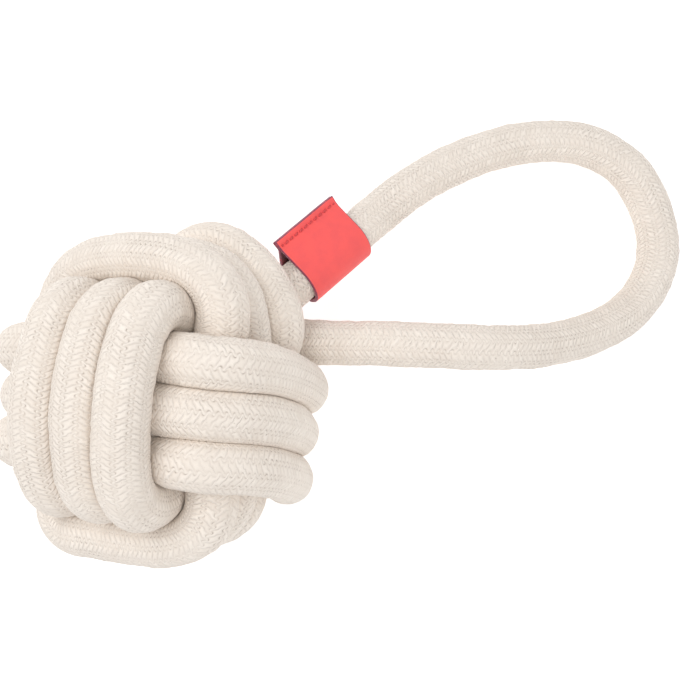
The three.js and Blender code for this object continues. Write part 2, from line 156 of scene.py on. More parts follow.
def carried_across(points: Array) -> Array:
    """Directions square to a path that turn about it as little as they can.

    Any direction square to the path is taken first, from the cross product with an axis that it doesn't
    follow. The angle that it turns through about the path at each step is summed, and turned back.

    Args:
        points: The path, one point a row.

    Returns:
        One unit vector a point, square to the path there.
    """
    way = tangents_of(points)
    aside = np.where(np.abs(way[:, 2:]) < STEEP, [[0.0, 0.0, 1.0]], [[1.0, 0.0, 0.0]])
    across = unit(np.cross(aside, way))
    up = np.cross(way, across)
    axis = np.cross(way[:-1], way[1:])
    cosine = np.sum(way[:-1] * way[1:], axis=1, keepdims=True)
    before = across[:-1]
    moved = before * cosine + np.cross(axis, before)
    moved = moved + axis * np.sum(axis * before, axis=1, keepdims=True) / (1 + cosine)
    turned = np.arctan2(
        np.sum(np.cross(moved, across[1:]) * way[1:], axis=1),
        np.sum(moved * across[1:], axis=1),
    )
    angle = -np.concatenate([[0.0], np.cumsum(turned)])[:, None]
    return across * np.cos(angle) + up * np.sin(angle)


def angles_round(count: int) -> Array:
    """Even angles round a circle, from 0."""
    return 2 * math.pi * np.arange(count) / count


def spokes(across: Array, up: Array, angles: Array) -> Array:
    """Unit vectors round a point or a path: across times each angle's cosine, and up times its sine."""
    return across[..., None, :] * np.cos(angles)[:, None] + up[..., None, :] * np.sin(angles)[:, None]


def spokes_round(path: Array, angles: Array) -> Array:
    """The spokes of a path at some angles from the directions that are carried along it."""
    across = carried_across(path)
    return spokes(across, np.cross(tangents_of(path), across), angles)


def closest_of_steps(a: Array, b: Array, c: Array, d: Array) -> tuple[Array, Array, Array, Array]:
    """Where straight steps a-b and c-d come closest to each other, one pair a row.

    The least distance between the two lines is found and clamped onto each step in turn.

    Args:
        a: Starts of the first steps.
        b: Ends of the first steps.
        c: Starts of the second steps.
        d: Ends of the second steps.

    Returns:
        The shares along the two steps, the way from the second to the first, and its length.
    """
    p, q, r = b - a, d - c, a - c
    pp, qq, pq = (p * p).sum(-1), (q * q).sum(-1), (p * q).sum(-1)
    pr, qr = (p * r).sum(-1), (q * r).sum(-1)
    determinant = pp * qq - pq * pq
    level = determinant <= TINY * pp * qq
    guess = np.where(level, 0.5, (pq * qr - pr * qq) / np.where(level, 1.0, determinant))
    t = np.clip((pq * np.clip(guess, 0, 1) + qr) / qq, 0, 1)
    s = np.clip((pq * t - pr) / pp, 0, 1)
    t = np.clip((pq * s + qr) / qq, 0, 1)
    way = r + p * s[:, None] - q * t[:, None]
    return s, t, way, np.maximum(np.linalg.norm(way, axis=-1), TINY)


# ---- Meshes


def grid_faces(rows: int, columns: int, wrap: bool = False) -> Array:
    """The quads of a grid of points, numbered row by row.

    Args:
        rows: Rows of points.
        columns: Points in a row.
        wrap: Whether each row closes on itself.

    Returns:
        One quad a row: a point, the next in its row, and the two beside them in the next row.
    """
    row = np.arange(rows - 1)[:, None] * columns
    column = np.arange(columns if wrap else columns - 1)[None, :]
    after = (column + 1) % columns
    quads = np.stack([row + column, row + after, row + after + columns, row + column + columns], -1)
    return quads.reshape(-1, 4)


def fan(pole: int, ring: Array, outward: bool) -> Array:
    """The triangles between a pole and a ring of points, in the ring's order or else turned over."""
    sides = [ring, np.roll(ring, -1)] if outward else [np.roll(ring, -1), ring]
    return np.stack([np.full(len(ring), pole), *sides], -1)


def tube_faces(count: int, sides: int) -> list[Array]:
    """The faces of a tube of rings and its two ends, whose poles are numbered after the rings' points.

    Args:
        count: How many rings there are.
        sides: The points in each.

    Returns:
        The quads between the rings, and the triangles of both ends.
    """
    first = np.arange(sides)
    last = first + (count - 1) * sides
    ends = np.vstack([fan(count * sides, first, False), fan(count * sides + 1, last, True)])
    return [grid_faces(count, sides, wrap=True), ends]


@dataclass
class Shell:
    """A closed surface: points in millimetres, faces, and where its pattern runs on each corner."""

    name: str
    points: Array
    faces: list[Array]
    along: Array | None = None  # one (u, v) for each corner, in the order of the faces
    values: dict[str, Array] = field(default_factory=dict)  # numbers on the points, for the material
    finishes: Array | None = None  # each face's place in the list of materials
    crease: float = 55.0  # degrees, from which an edge is sharp

    def build(self, materials: list[Material]) -> bpy.types.Object:
        """Makes the Blender object, in metres, with smooth shading.

        Args:
            materials: The piece's materials.

        Returns:
            The new object, at the origin.
        """
        mesh = bpy.data.meshes.new(self.name)
        lists = [face for group in self.faces for face in group.tolist()]
        mesh.from_pydata((self.points * MM).tolist(), [], lists)
        if self.along is not None:
            layer = mesh.uv_layers.new(name="along_around")
            layer.uv.foreach_set("vector", self.along.astype(np.float32).ravel())
        for name, numbers in self.values.items():
            attribute = mesh.attributes.new(name, "FLOAT", "POINT")
            attribute.data.foreach_set("value", numbers.astype(np.float32).ravel())
        for material in materials:
            mesh.materials.append(material)
        if self.finishes is not None:
            mesh.polygons.foreach_set("material_index", self.finishes.astype(np.int32))
        mesh.shade_smooth()
        mesh.set_sharp_from_angle(angle=math.radians(self.crease))
        mesh.update()
        made = bpy.data.objects.new(self.name, mesh)
        bpy.context.scene.collection.objects.link(made)
        return made

    def settle(self, materials: list[Material], body: str, node: str, slot: str) -> bpy.types.Object:
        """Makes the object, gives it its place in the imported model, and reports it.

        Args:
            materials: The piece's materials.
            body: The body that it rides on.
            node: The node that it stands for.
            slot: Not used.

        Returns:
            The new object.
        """
        made = self.build(materials)
        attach(made, body)
        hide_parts(node)
        log.info("%s: %d faces", made.name, len(made.data.polygons))
        return made


def tube_shell(name: str, rings: Array, lengths: Array, values: dict[str, Array]) -> Shell:
    """A tube through rings of points, with a flat end on each side.

    A point's place round the ring is u, from 0 to 1, and its distance along the tube is v, in metres.

    Args:
        name: The piece's name.
        rings: Points, by ring and place round it.
        lengths: The distance along the tube to each ring, in millimetres.
        values: Numbers for each point of the rings.

    Returns:
        The closed shell.
    """
    count, sides = rings.shape[:2]
    points = np.vstack([rings.reshape(-1, 3), rings[0].mean(0), rings[-1].mean(0)])
    row, column = np.divmod(np.arange((count - 1) * sides), sides)
    u = np.stack([column, column + 1, column + 1, column], -1) / sides
    v = lengths[np.stack([row, row, row + 1, row + 1], -1)] * MM
    side = np.arange(sides)
    end_u = np.stack([side + 0.5, side, side + 1], -1).ravel() / sides
    end_v = np.full(3 * sides, MM)
    skin = np.stack([u.ravel(), v.ravel()], -1)
    ends = [np.stack([end_u, end_v * lengths[i]], -1) for i in (0, -1)]
    kept = {k: np.concatenate([x.ravel(), x[0, :1], x[-1, :1]]) for k, x in values.items()}
    return Shell(name, points, tube_faces(count, sides), np.vstack([skin, *ends]), kept)


# ---- Shader graphs


class Graph:
    """Adds nodes to a shader tree and wires them, in few words."""

    def __init__(self, tree: Group) -> None:
        """Keeps the tree that the nodes go into."""
        self.tree = tree

    def spot(self) -> Socket:
        """A point's place on its object, in metres."""
        return self.node("TexCoord").outputs["Object"]

    def strand(self) -> Socket:
        """A point's place round and along its strand."""
        return self.node("UVMap", uv_map="along_around").outputs[0]

    def node(self, kind: str, **settings: object) -> Node:
        """Adds a node.

        Args:
            kind: Blender's name for the node's type, without its ShaderNode start.
            settings: Properties to set on it.

        Returns:
            The new node.
        """
        made = self.tree.nodes.new("ShaderNode" + kind)
        for name, value in settings.items():
            setattr(made, name, value)
        return made

    def feed(self, socket: Socket, value: object) -> None:
        """Links a socket to another, or sets its value.

        Args:
            socket: The input.
            value: An output socket, a number or a tuple.
        """
        if isinstance(value, bpy.types.NodeSocket):
            self.tree.links.new(value, socket)
        else:
            socket.default_value = value

    def wire(self, node: Node, *first: object, **named: object) -> Node:
        """Feeds a node's inputs.

        Args:
            node: The node.
            first: What its first inputs take, in order.
            named: What others take, by name with underscores for spaces.

        Returns:
            The node.
        """
        for socket, value in zip(node.inputs, first):
            self.feed(socket, value)
        for name, value in named.items():
            self.feed(node.inputs[name.replace("_", " ")], value)
        return node

    def math(self, operation: str, *values: object) -> Socket:
        """The result of the named operation on some values."""
        return self.wire(self.node("Math", operation=operation), *values).outputs[0]

    def times(self, first: object, second: object) -> Socket:
        """Two values multiplied."""
        return self.math("MULTIPLY", first, second)

    def linear(self, value: object, factor: object, plus: object) -> Socket:
        """A value times a factor, plus another."""
        return self.math("MULTIPLY_ADD", value, factor, plus)

    def arch(self, value: object) -> Socket:
        """Half a sine wave over each whole number: 0 at its ends and 1 in its middle."""
        return self.math("SINE", self.times(self.math("FRACT", value), math.pi))

    def between(self, value: object, low: float, high: float, to_low: float, to_high: float) -> Socket:
        """A number moved smoothly from one range, low to high, to another, and held at its ends."""
        made = self.node("MapRange", interpolation_type="SMOOTHSTEP")
        return self.wire(made, value, low, high, to_low, to_high).outputs[0]

    def mix(self, share: object, first: object, second: object) -> Socket:
        """Two colours mixed.

        Args:
            share: How much of the second.
            first: The colour at 0.
            second: The colour at 1.

        Returns:
            The mixed colour.
        """
        made = self.wire(self.node("Mix", data_type="RGBA"), Factor=share)
        self.feed(made.inputs[6], first)
        self.feed(made.inputs[7], second)
        return made.outputs[2]

    def noise(self, vector: Socket, scale: float, detail: float = 2.0) -> Socket:
        """Smooth noise about 0.5, as fine as its scale says, in one layer and detail finer ones."""
        return self.wire(self.node("TexNoise"), Vector=vector, Scale=scale, Detail=detail).outputs["Fac"]

    def vector(self, x: object, y: object, z: object = 0.0) -> Socket:
        """Three numbers as a vector."""
        return self.wire(self.node("CombineXYZ"), x, y, z).outputs[0]

    def split(self, vector: Socket) -> bpy.types.NodeOutputs:
        """The three numbers of a vector."""
        return self.wire(self.node("SeparateXYZ"), vector).outputs

    def bump(self, height: Socket, depth: float, strength: float = 1.0) -> Socket:
        """A normal tilted by a height, whose 1 stands depth millimetres high."""
        made = self.node("Bump")
        return self.wire(made, Strength=strength, Distance=depth * MM, Height=height).outputs[0]

    def use(self, group: Group, **values: object) -> bpy.types.NodeOutputs:
        """Places a node group, feeds its inputs by name, and gives its outputs."""
        return self.wire(self.node("Group", node_tree=group), **values).outputs


def new_group(
    name: str, takes: dict[str, str], gives: dict[str, str]
) -> tuple[Graph, dict[str, Socket], Node]:
    """An empty shader node group with named sockets.

    Args:
        name: The group's name.
        takes: Its inputs, name to Float, Vector or Color.
        gives: Its outputs, in the same way.

    Returns:
        A graph that adds to it, what comes in by name, and the node that takes what goes out.
    """
    tree = bpy.data.node_groups.new(name, "ShaderNodeTree")
    for side, sockets in (("INPUT", takes), ("OUTPUT", gives)):
        for label, kind in sockets.items():
            tree.interface.new_socket(label, in_out=side, socket_type="NodeSocket" + kind)
    inside, out = tree.nodes.new("NodeGroupInput"), tree.nodes.new("NodeGroupOutput")
    return Graph(tree), {label: inside.outputs[label] for label in takes}, out


def fibre_group() -> Group:
    """Fine fibres that run one way: noise stretched along them, in a coarse and a fine layer.

    Returns:
        A group that takes Place, a vector whose second number runs along the fibres, and Length, how much
        longer than wide they are. It gives Shade, about 0.5.
    """
    coarse_scale, fine_scale = 900.0, 3200.0
    g, given, out = new_group("fibres", {"Place": "Vector", "Length": "Float"}, {"Shade": "Float"})
    x, y, z = g.split(given["Place"])
    drawn = g.vector(x, g.math("DIVIDE", y, given["Length"]), z)
    both = g.math("ADD", g.noise(drawn, coarse_scale, 1.0), g.noise(drawn, fine_scale, 1.0))
    g.wire(out, Shade=g.times(both, 0.5))
    return g.tree


def braid_group() -> Group:
    """Braided stitches in columns along a rope, leaning one way in one column and the other way in the next.

    The place round the rope folds back and forth once a column, which shifts the stitches along by Slant of
    a pitch. Every second column is half a pitch on, and the line between two columns swings once a pitch, so
    that each stitch ends over the gap beside it. A stitch's height is a rounded ridge across its pitch with a
    slight groove along its middle, times a flattened half wave across its column and a random number.

    Returns:
        A group that takes Place (u round the rope, v along it in metres), Columns, Pitch in metres, Slant and
        Waver. It gives Height, Gap (1 between stitches, where the material paints shade), Hole (1 where a
        stitch dives, where the material paints darker shade), Streak (fine fibres along a stitch) and Tone
        (one random number a stitch).
    """
    girth, waver_scale = 0.038, 260.0  # the rope's way round in metres, and how fine its wavering is
    swing_share = 0.16  # of a column, that the line between two columns swings by
    ridge_power, groove, shoulder_power = 1.3, 0.12, 0.6
    proud_least, proud_more = 0.75, 0.35
    seen_least, seen_more = 0.4, 0.6  # how clear a gap stays in mid-stitch, and what it gains at the ends
    streaks_along, streaks_across = 6.0, 3.0
    takes = {"Place": "Vector", "Columns": "Float", "Pitch": "Float", "Slant": "Float", "Waver": "Float"}
    gives = {"Height": "Float", "Gap": "Float", "Hole": "Float", "Streak": "Float", "Tone": "Float"}
    g, given, out = new_group("braid", takes, gives)
    slant = given["Slant"]
    u, v, _ = g.split(given["Place"])
    wander = g.math("SUBTRACT", g.noise(g.vector(g.times(u, girth), v), waver_scale), 0.5)
    around = g.times(u, given["Columns"])
    line = g.linear(wander, given["Waver"], g.math("DIVIDE", v, given["Pitch"]))
    side = g.math("ROUND", g.math("PINGPONG", around, 1.0))
    swing = g.math("COSINE", g.times(g.linear(side, slant, line), 2 * math.pi))
    swing = g.times(swing, g.math("COSINE", g.times(around, math.pi)))
    column = g.linear(swing, -swing_share, around)
    odd = g.math("MODULO", g.math("FLOOR", column), 2.0)
    along = g.linear(odd, 0.5, g.linear(g.math("PINGPONG", column, 1.0), slant, line))
    across_stitch, across_column = g.arch(along), g.arch(column)
    grooved = g.math("ABSOLUTE", g.math("SINE", g.times(along, 2 * math.pi)))
    ridge = g.times(g.math("POWER", across_stitch, ridge_power), 1 - groove)
    random = g.node("TexWhiteNoise", noise_dimensions="2D")
    cell = g.vector(g.math("FLOOR", column), g.math("FLOOR", along))
    tone = g.wire(random, Vector=cell).outputs["Value"]
    height = g.times(g.linear(grooved, groove, ridge), g.linear(tone, proud_more, proud_least))
    near_end = g.between(across_column, 0.0, 0.65, 1.0, 0.0)
    near_gap = g.between(across_stitch, 0.0, 0.9, 1.0, 0.0)
    seen = g.linear(g.between(across_column, 0.1, 0.95, 1.0, 0.0), seen_more, seen_least)
    g.wire(
        out,
        Height=g.times(height, g.math("POWER", across_column, shoulder_power)),
        Gap=g.times(g.between(across_stitch, 0.0, 0.8, 1.0, 0.0), seen),
        Hole=g.times(near_end, near_gap),
        Streak=g.noise(g.vector(g.times(along, streaks_along), g.times(column, streaks_across)), 1.0),
        Tone=tone,
    )
    return g.tree


def grain_group() -> Group:
    """Leather grain: pebbles between fine creases, from cells and the noise that bends them.

    Returns:
        A group that takes Place and Size, a pebble's width in metres. It gives Height and Mottle.
    """
    warp_scale, warp_size, mottle_scale = 1500.0, 0.0003, 240.0
    takes = {"Place": "Vector", "Size": "Float"}
    g, given, out = new_group("grain", takes, {"Height": "Float", "Mottle": "Float"})
    place = given["Place"]
    warp = g.wire(g.node("TexNoise"), Vector=place, Scale=warp_scale)
    bend = g.node("VectorMath", operation="MULTIPLY_ADD")
    cells = g.node("TexVoronoi", feature="DISTANCE_TO_EDGE")
    bent = g.wire(bend, warp.outputs["Color"], (warp_size,) * 3, place).outputs[0]
    g.wire(cells, Vector=bent, Scale=g.math("DIVIDE", 1.0, given["Size"]))
    pebble = g.between(cells.outputs["Distance"], 0.0, 0.25, 0.0, 1.0)
    g.wire(out, Height=pebble, Mottle=g.noise(place, mottle_scale, 3.0))
    return g.tree


def new_material(name: str) -> tuple[Material, Graph, Node]:
    """A node material with an empty Principled shader.

    Args:
        name: The material's name.

    Returns:
        The material, a graph that adds to it, and its shader.
    """
    made = bpy.data.materials.new(name)
    made.use_nodes = True
    return made, Graph(made.node_tree), made.node_tree.nodes["Principled BSDF"]


@dataclass(frozen=True)
class BraidedCotton:
    """Natural cotton braid: cream stitches, painted shade in the gaps and holes between them, a few dark
    husks, and a soft fuzz.
    """

    cream: Colour = (0.77, 0.685, 0.605, 1.0)
    pale: Colour = (0.985, 0.91, 0.83, 1.0)
    # gap and hole are painted shade: the warm dark laid into the gaps between stitches and into the holes
    # where they dive.
    gap: Colour = (0.50, 0.41, 0.34, 1.0)
    hole: Colour = (0.20, 0.15, 0.12, 1.0)
    husk: Colour = (0.26, 0.20, 0.16, 1.0)
    columns: float = 12.0
    pitch: float = 1.27
    slant: float = 1.7
    waver: float = 1.0
    relief: float = 0.21
    cloud_scale: float = 90.0
    patch_scale: float = 110.0
    fleck_scale: float = 1300.0
    cloud_tone: float = 0.5
    stitch_tone: float = 0.28
    streak_tone: float = 0.3
    streak_relief: float = 0.3
    fuzz_relief: float = 0.25
    open_gap_shade: float = 0.5  # how dark the painted shade in a gap is where nothing squeezes it
    name: str = "fist_cotton"

    def material(self, braid: Group, fibres: Group) -> Material:
        """The rope's material, which follows the rope by its own map and paints shade into the gaps and holes
        between stitches, darkest where the rope is squeezed.

        Args:
            braid: The stitches.
            fibres: The fine fibres.

        Returns:
            The material.
        """
        made, g, shader = new_material(self.name)
        weave = {"Columns": self.columns, "Pitch": self.pitch * MM, "Slant": self.slant, "Waver": self.waver}
        stitch = g.use(braid, Place=g.strand(), **weave)
        stretch = g.node("Attribute", attribute_name="stretch").outputs["Fac"]
        spot = g.spot()
        cloud = g.times(g.noise(spot, self.cloud_scale, 4.0), self.cloud_tone)
        tone = g.linear(stitch["Streak"], self.streak_tone, g.linear(stitch["Tone"], self.stitch_tone, cloud))
        patchy = g.between(g.noise(spot, self.patch_scale), 0.35, 0.65, 0.35, 1.0)
        # Painted shade: the gaps between stitches grow darker where the bend squeezes the rope, on the inside
        # of its turns.
        squeezed_shade = g.between(stretch, 0.45, 1.0, 1.0, 0.0)
        dark = g.times(stitch["Gap"], g.linear(squeezed_shade, 1 - self.open_gap_shade, self.open_gap_shade))
        # Painted shade in the holes where stitches dive, stronger on some stitches than on others.
        hole_shade = g.times(stitch["Hole"], g.between(stitch["Tone"], 0.3, 1.0, 0.05, 0.6))
        base = g.mix(tone, self.cream, self.pale)
        base = g.mix(g.times(dark, patchy), base, self.gap)
        base = g.mix(g.times(hole_shade, patchy), base, self.hole)
        fleck = g.between(g.noise(spot, self.fleck_scale), 0.68, 0.78, 0.0, 0.4)
        fuzz = g.use(fibres, Place=spot, Length=1.0)["Shade"]
        fine = g.linear(fuzz, self.fuzz_relief, g.times(stitch["Streak"], self.streak_relief))
        g.wire(
            shader,
            Base_Color=g.mix(fleck, base, self.husk),
            Roughness=g.between(stitch["Height"], 0.0, 1.0, 1.0, 0.88),
            Normal=g.bump(g.math("ADD", stitch["Height"], fine), self.relief),
            Specular_IOR_Level=0.15,
            Sheen_Weight=0.12,
            Sheen_Roughness=0.6,
        )
        return made


@dataclass(frozen=True)
class CoralLeather:
    """Coral leather: a smooth coloured face, a dark suede back and painted maroon edges."""

    face: Colour = (0.98, 0.122, 0.115, 1.0)
    worn: Colour = (0.90, 0.113, 0.115, 1.0)
    back: Colour = (0.19, 0.085, 0.10, 1.0)
    paint: Colour = (0.24, 0.055, 0.10, 1.0)
    pebble: float = 0.32
    grain_relief: float = 0.02
    nap_relief: float = 0.12
    paint_relief: float = 0.08
    paint_scale: float = 700.0

    def face_material(self, grain: Group) -> Material:
        """The coloured face, with the leather's grain and a slight mottle.

        Args:
            grain: The leather's grain.

        Returns:
            The material.
        """
        made, g, shader = new_material("coral_face")
        skin = g.use(grain, Place=g.spot(), Size=self.pebble * MM)
        g.wire(
            shader,
            Base_Color=g.mix(g.between(skin["Mottle"], 0.3, 0.75, 0, 1), self.face, self.worn),
            Roughness=g.between(skin["Height"], 0.0, 1.0, 0.66, 0.48),
            Normal=g.bump(skin["Height"], self.grain_relief, 0.6),
            Specular_IOR_Level=0.35,
        )
        return made

    def back_material(self, fibres: Group) -> Material:
        """The suede back, with a nap of fine fibres.

        Args:
            fibres: The fine fibres.

        Returns:
            The material.
        """
        made, g, shader = new_material("suede_back")
        nap = g.use(fibres, Place=g.spot(), Length=2.0)["Shade"]
        base = g.mix(g.between(nap, 0.4, 0.8, 0.0, 0.3), self.back, self.worn)
        g.wire(shader, Base_Color=base, Normal=g.bump(nap, self.nap_relief), Roughness=0.95)
        return made

    def paint_material(self) -> Material:
        """The painted edges, glossier than the face and a little uneven.

        Returns:
            The material.
        """
        made, g, shader = new_material("edge_paint")
        thick = g.noise(g.spot(), self.paint_scale)
        g.wire(
            shader,
            Base_Color=g.mix(g.between(thick, 0.5, 0.85, 0, 0.6), self.paint, self.worn),
            Roughness=g.between(thick, 0.2, 0.8, 0.35, 0.6),
            Normal=g.bump(thick, self.paint_relief),
        )
        return made


@dataclass(frozen=True)
class WaxedThread:
    """Waxed, twisted thread of one dark red, with painted shade between its plies and painted highlight on
    them.
    """

    # dark and light are one red: the grooves between plies take the dark as painted shade, their crowns the
    # light as painted highlight.
    dark: Colour = (0.45, 0.04, 0.05, 1.0)
    light: Colour = (0.75, 0.08, 0.085, 1.0)
    plies: float = 3.0
    twist: float = 1600.0  # plies passed in a metre of thread
    relief: float = 0.06

    def material(self) -> Material:
        """The thread's material: plies that wind round it, by its own map, painted darker in their grooves
        and lighter on their crowns.

        Returns:
            The material.
        """
        made, g, shader = new_material("waxed_thread")
        u, v, _ = g.split(g.strand())
        ply = g.arch(g.linear(v, self.twist, g.times(u, self.plies)))
        base = g.mix(ply, self.dark, self.light)
        g.wire(shader, Base_Color=base, Normal=g.bump(ply, self.relief), Roughness=0.5)
        return made


@dataclass(frozen=True)
class StuffingYarn:
    """Waste cotton yarn wound into the ball's core."""

    light: Colour = (0.70, 0.63, 0.54, 1.0)
    dark: Colour = (0.40, 0.33, 0.27, 1.0)
    strand_scale: float = 180.0
    tangle: float = 3.0
    relief: float = 0.4

    def material(self, fibres: Group) -> Material:
        """The core's material: wound strands with fine fibres.

        Args:
            fibres: The fine fibres.

        Returns:
            The material.
        """
        made, g, shader = new_material("stuffing_yarn")
        spot = g.spot()
        wave = g.node("TexWave", bands_direction="DIAGONAL")
        wound = g.wire(wave, Vector=spot, Scale=self.strand_scale, Distortion=self.tangle).outputs["Fac"]
        shade = g.times(wound, g.use(fibres, Place=spot, Length=3.0)["Shade"])
        base = g.mix(shade, self.dark, self.light)
        g.wire(shader, Base_Color=base, Normal=g.bump(wound, self.relief), Roughness=0.95)
        return made


# ---- The rope


@dataclass
class Leg:
    """The upper leg of the handle, straight out of the ball."""

    bearing: float = 42.0  # degrees from +X
    drop: float = 19.0  # degrees below level
    end_radius: float = 4.0  # from the ball's centre to the rope's cut end
    straight: float = 80.0  # from there to where the handle starts to bend

    @property
    def way(self) -> Array:
        """The unit vector out of the ball along the leg."""
        b, d = math.radians(self.bearing), math.radians(self.drop)
        return np.array([math.cos(b) * math.cos(d), math.sin(b) * math.cos(d), -math.sin(d)])


@dataclass
class Knot:
    """The ball's three windings of three turns each, drawn tight on the ball's own axes."""

    turn: float = 11.0  # the rope's diameter where it is drawn tight
    gap: float = 0.5
    core_gap: float = 0.3
    turns: int = 3
    steps: int = 24  # in a turn
    turned: float = 29.5  # degrees about +Y that the ball lies turned
    # The loose turns, in rope spacings.
    outer: float = 2.81
    inner: float = 1.918
    pitch: float = 1.04
    level: float = 1.258
    lower_leg: float = 3.3
    leg_level: float = 1.17
    over: tuple[tuple[float, float, float], ...] = ((-2.64, -2.16, -1.52), (-1.84, -2.88, -1.6))
    inside: tuple[tuple[float, float, float], ...] = ((1.52, -1.6, -1.76),)
    # How they are drawn tight: shares moved at each step, and radii in rope spacings.
    draw_steps: int = 500
    settle_steps: int = 200
    tension: float = 0.195
    stiffness: float = 0.041
    closing: float = 0.074
    closing_radius: float = 2.744
    closing_reach: float = 0.64
    push: float = 1.3
    skip: int = 3  # steps along the rope within which it doesn't push itself
    search_every: int = 10
    search_reach: float = 2.1
    # The same in finer steps.
    fine: int = 4
    fine_steps: int = 60
    fine_settle_steps: int = 20
    fine_stiffness: float = 0.3
    fine_search_reach: float = 1.5

    @property
    def spacing(self) -> float:
        """From the middle of one turn to the middle of the next."""
        return self.turn + self.gap

    @property
    def matrix(self) -> Array:
        """From the ball's own axes to the toy's: basis, then turned about Y."""
        half = math.sqrt(0.5)
        basis = np.array([[-half, -half, 0], [0, 0, 1], [-half, half, 0]])
        c, s = math.cos(math.radians(self.turned)), math.sin(math.radians(self.turned))
        return np.array([[c, 0, s], [0, 1, 0], [-s, 0, c]]) @ basis

    def outline(self) -> Array:
        """One loose turn: a rounded rectangle in even steps, from the middle of its inner side towards +u.

        Returns:
            The points (u, v), by straight runs and quarter circles measured along the outline.
        """
        outer, inner, bend = self.outer * self.spacing, self.inner * self.spacing, self.spacing
        wide, tall, arc = outer - bend, inner - bend, bend * math.pi / 2
        runs = [wide, arc, 2 * tall, arc, 2 * wide, arc, 2 * tall, arc, wide]
        ends = np.concatenate([[0.0], np.cumsum(runs)])
        at = np.arange(self.steps) / self.steps * ends[-1]
        run = np.searchsorted(ends, at, side="right") - 1
        share = at - ends[run]
        corner = np.array([[wide, -tall], [wide, tall], [-wide, tall], [-wide, -tall]])
        starts, ways = np.zeros((2, len(runs), 2))
        starts[::2] = [[0, -inner], [outer, -tall], [wide, inner], [-outer, tall], [-wide, -inner]]
        ways[::2] = [[1, 0], [0, 1], [-1, 0], [0, -1], [1, 0]]
        straight = starts[run] + ways[run] * share[:, None]
        quarter = np.clip((run - 1) // 2, 0, 3)
        angle = -math.pi / 2 + quarter * math.pi / 2 + share / bend
        round_ = corner[quarter] + bend * np.stack([np.cos(angle), np.sin(angle)], -1)
        return np.where((run % 2 == 1)[:, None], round_, straight)

    def band(self, start: int, stop: int, level: float, order: tuple[int, int, int], signs: Array) -> Array:
        """A winding from one step of a turn to another, its level moving evenly across.

        Args:
            start: The first step.
            stop: The last step.
            level: The level at the start; the end has the opposite one.
            order: Which of u, v and the level each of the three axes takes.
            signs: The sign that each axis takes it with.

        Returns:
            The points.
        """
        count = stop - start
        i = np.arange(count + 1)
        at = self.outline()[(start + i) % self.steps]
        levels = level * (1 - 2 * i / count)
        return np.column_stack([at, levels])[:, list(order)] * signs

    def loose(self) -> tuple[Array, int, int, int]:
        """The rope's way through the ball before it is drawn tight.

        Returns:
            The points, how many at the start are held, and where the second and third windings start.
        """
        spacing, quarter, whole = self.spacing, self.steps // 4, self.turns * self.steps
        level = self.level * (self.pitch * spacing) * (self.turns - 1) / 2
        inwards = np.array([0, 0.5, 1]) * self.turn - self.lower_leg * spacing
        beside = np.array([[-self.inner * spacing, self.leg_level * spacing]] * len(inwards))
        held = np.column_stack([inwards, beside])
        first = self.band(-2, whole - quarter + 2, level, (0, 1, 2), np.array([1, 1, 1]))
        over = np.array(self.over) * spacing
        second = self.band(quarter - 1, whole + 2, -level, (2, 0, 1), np.array([1, -1, 1]))
        inside = np.array(self.inside) * spacing
        third = self.band(-1, whole - quarter + 6, -level, (1, 2, 0), np.array([-1, 1, 1]))
        first_join = len(held) + len(first)
        points = np.vstack([held, first, over, second, inside, third])
        return points, len(held), first_join + 1, first_join + len(over) + len(second)

    def drawn(self, route: Array, held: int, leg: Array, steps: int, spread: int = 1) -> Array:
        """Draws the rope tight round the core.

        Each point moves to smooth the rope and towards the ball's centre, then steps that are closer than a
        rope's spacing push each other apart, as do the leg and the core. In finer steps than the loose
        route's the rope is only straightened and pushed.

        Args:
            route: The rope's points on the ball's axes.
            held: How many points at the start don't move.
            leg: The two ends of the upper leg.
            steps: Steps of drawing, which grow weaker to the end; the settling steps after them only push.
            spread: How many steps of this route make one of the loose one.

        Returns:
            The moved points.
        """
        points, last = route.copy(), len(route) - 1
        spacing, coarse = self.spacing, spread == 1
        first, second = np.triu_indices(last, self.skip * spread)
        near = (first[:0], second[:0])
        settle = self.settle_steps if coarse else self.fine_settle_steps
        reach = self.search_reach if coarse else self.fine_search_reach
        for step in range(steps + settle):
            strength = 1 - step / steps if step < steps else 0.0
            if strength > 0:
                before = points.copy()
                smooth = (before[held - 1 : -2] + before[held + 1 :]) / 2 - before[held:-1]
                wide = (before[held - 2 : -4] + before[held + 2 :]) / 2 - before[held:-2]
                straighten = 2 * smooth[:-1] - wide / 2
                if coarse:
                    points[held:-1] += strength * self.tension * smooth
                    points[held:-2] += strength * self.stiffness * straighten
                    radius = np.linalg.norm(points[held:], axis=1, keepdims=True)
                    beyond = np.clip(radius - self.closing_radius * spacing, 0, self.closing_reach * spacing)
                    points[held:] *= 1 - strength * self.closing * beyond / radius
                else:
                    points[held:-2] += self.fine_stiffness * straighten
            if step % self.search_every == 0:
                middle = (points[1:] + points[:-1]) / 2
                apart = np.linalg.norm(middle[first] - middle[second], axis=1)
                close = apart < reach * spacing
                near = (first[close], second[close])
            for _ in range(2):
                points[held:] += self.pushes(points, near, leg)[held:]
        return points

    def pushes(self, points: Array, near: tuple[Array, Array], leg: Array) -> Array:
        """How far contact moves each point: the mean of the pushes on the steps beside it.

        Args:
            points: The rope's points.
            near: The numbers of the steps that may touch.
            leg: The two ends of the upper leg.

        Returns:
            One vector a point.
        """
        moves, weights = np.zeros_like(points), np.zeros(len(points))
        leg_spacing = (self.turn + ROPE) / 2 + self.gap
        core_reach = CORE / 2 + self.core_gap + self.turn / 2

        def push(step: Array, share: Array, way: Array, amount: Array) -> None:
            """Shares a push between the two ends of each step.

            Args:
                step: The numbers of the steps.
                share: How far along each step it is pushed.
                way: The way that it is pushed.
                amount: How far, as a share of that way.
            """
            for end, part in ((step, 1 - share), (step + 1, share)):
                np.add.at(moves, end, way * (amount * part)[:, None])
                np.add.at(weights, end, part)

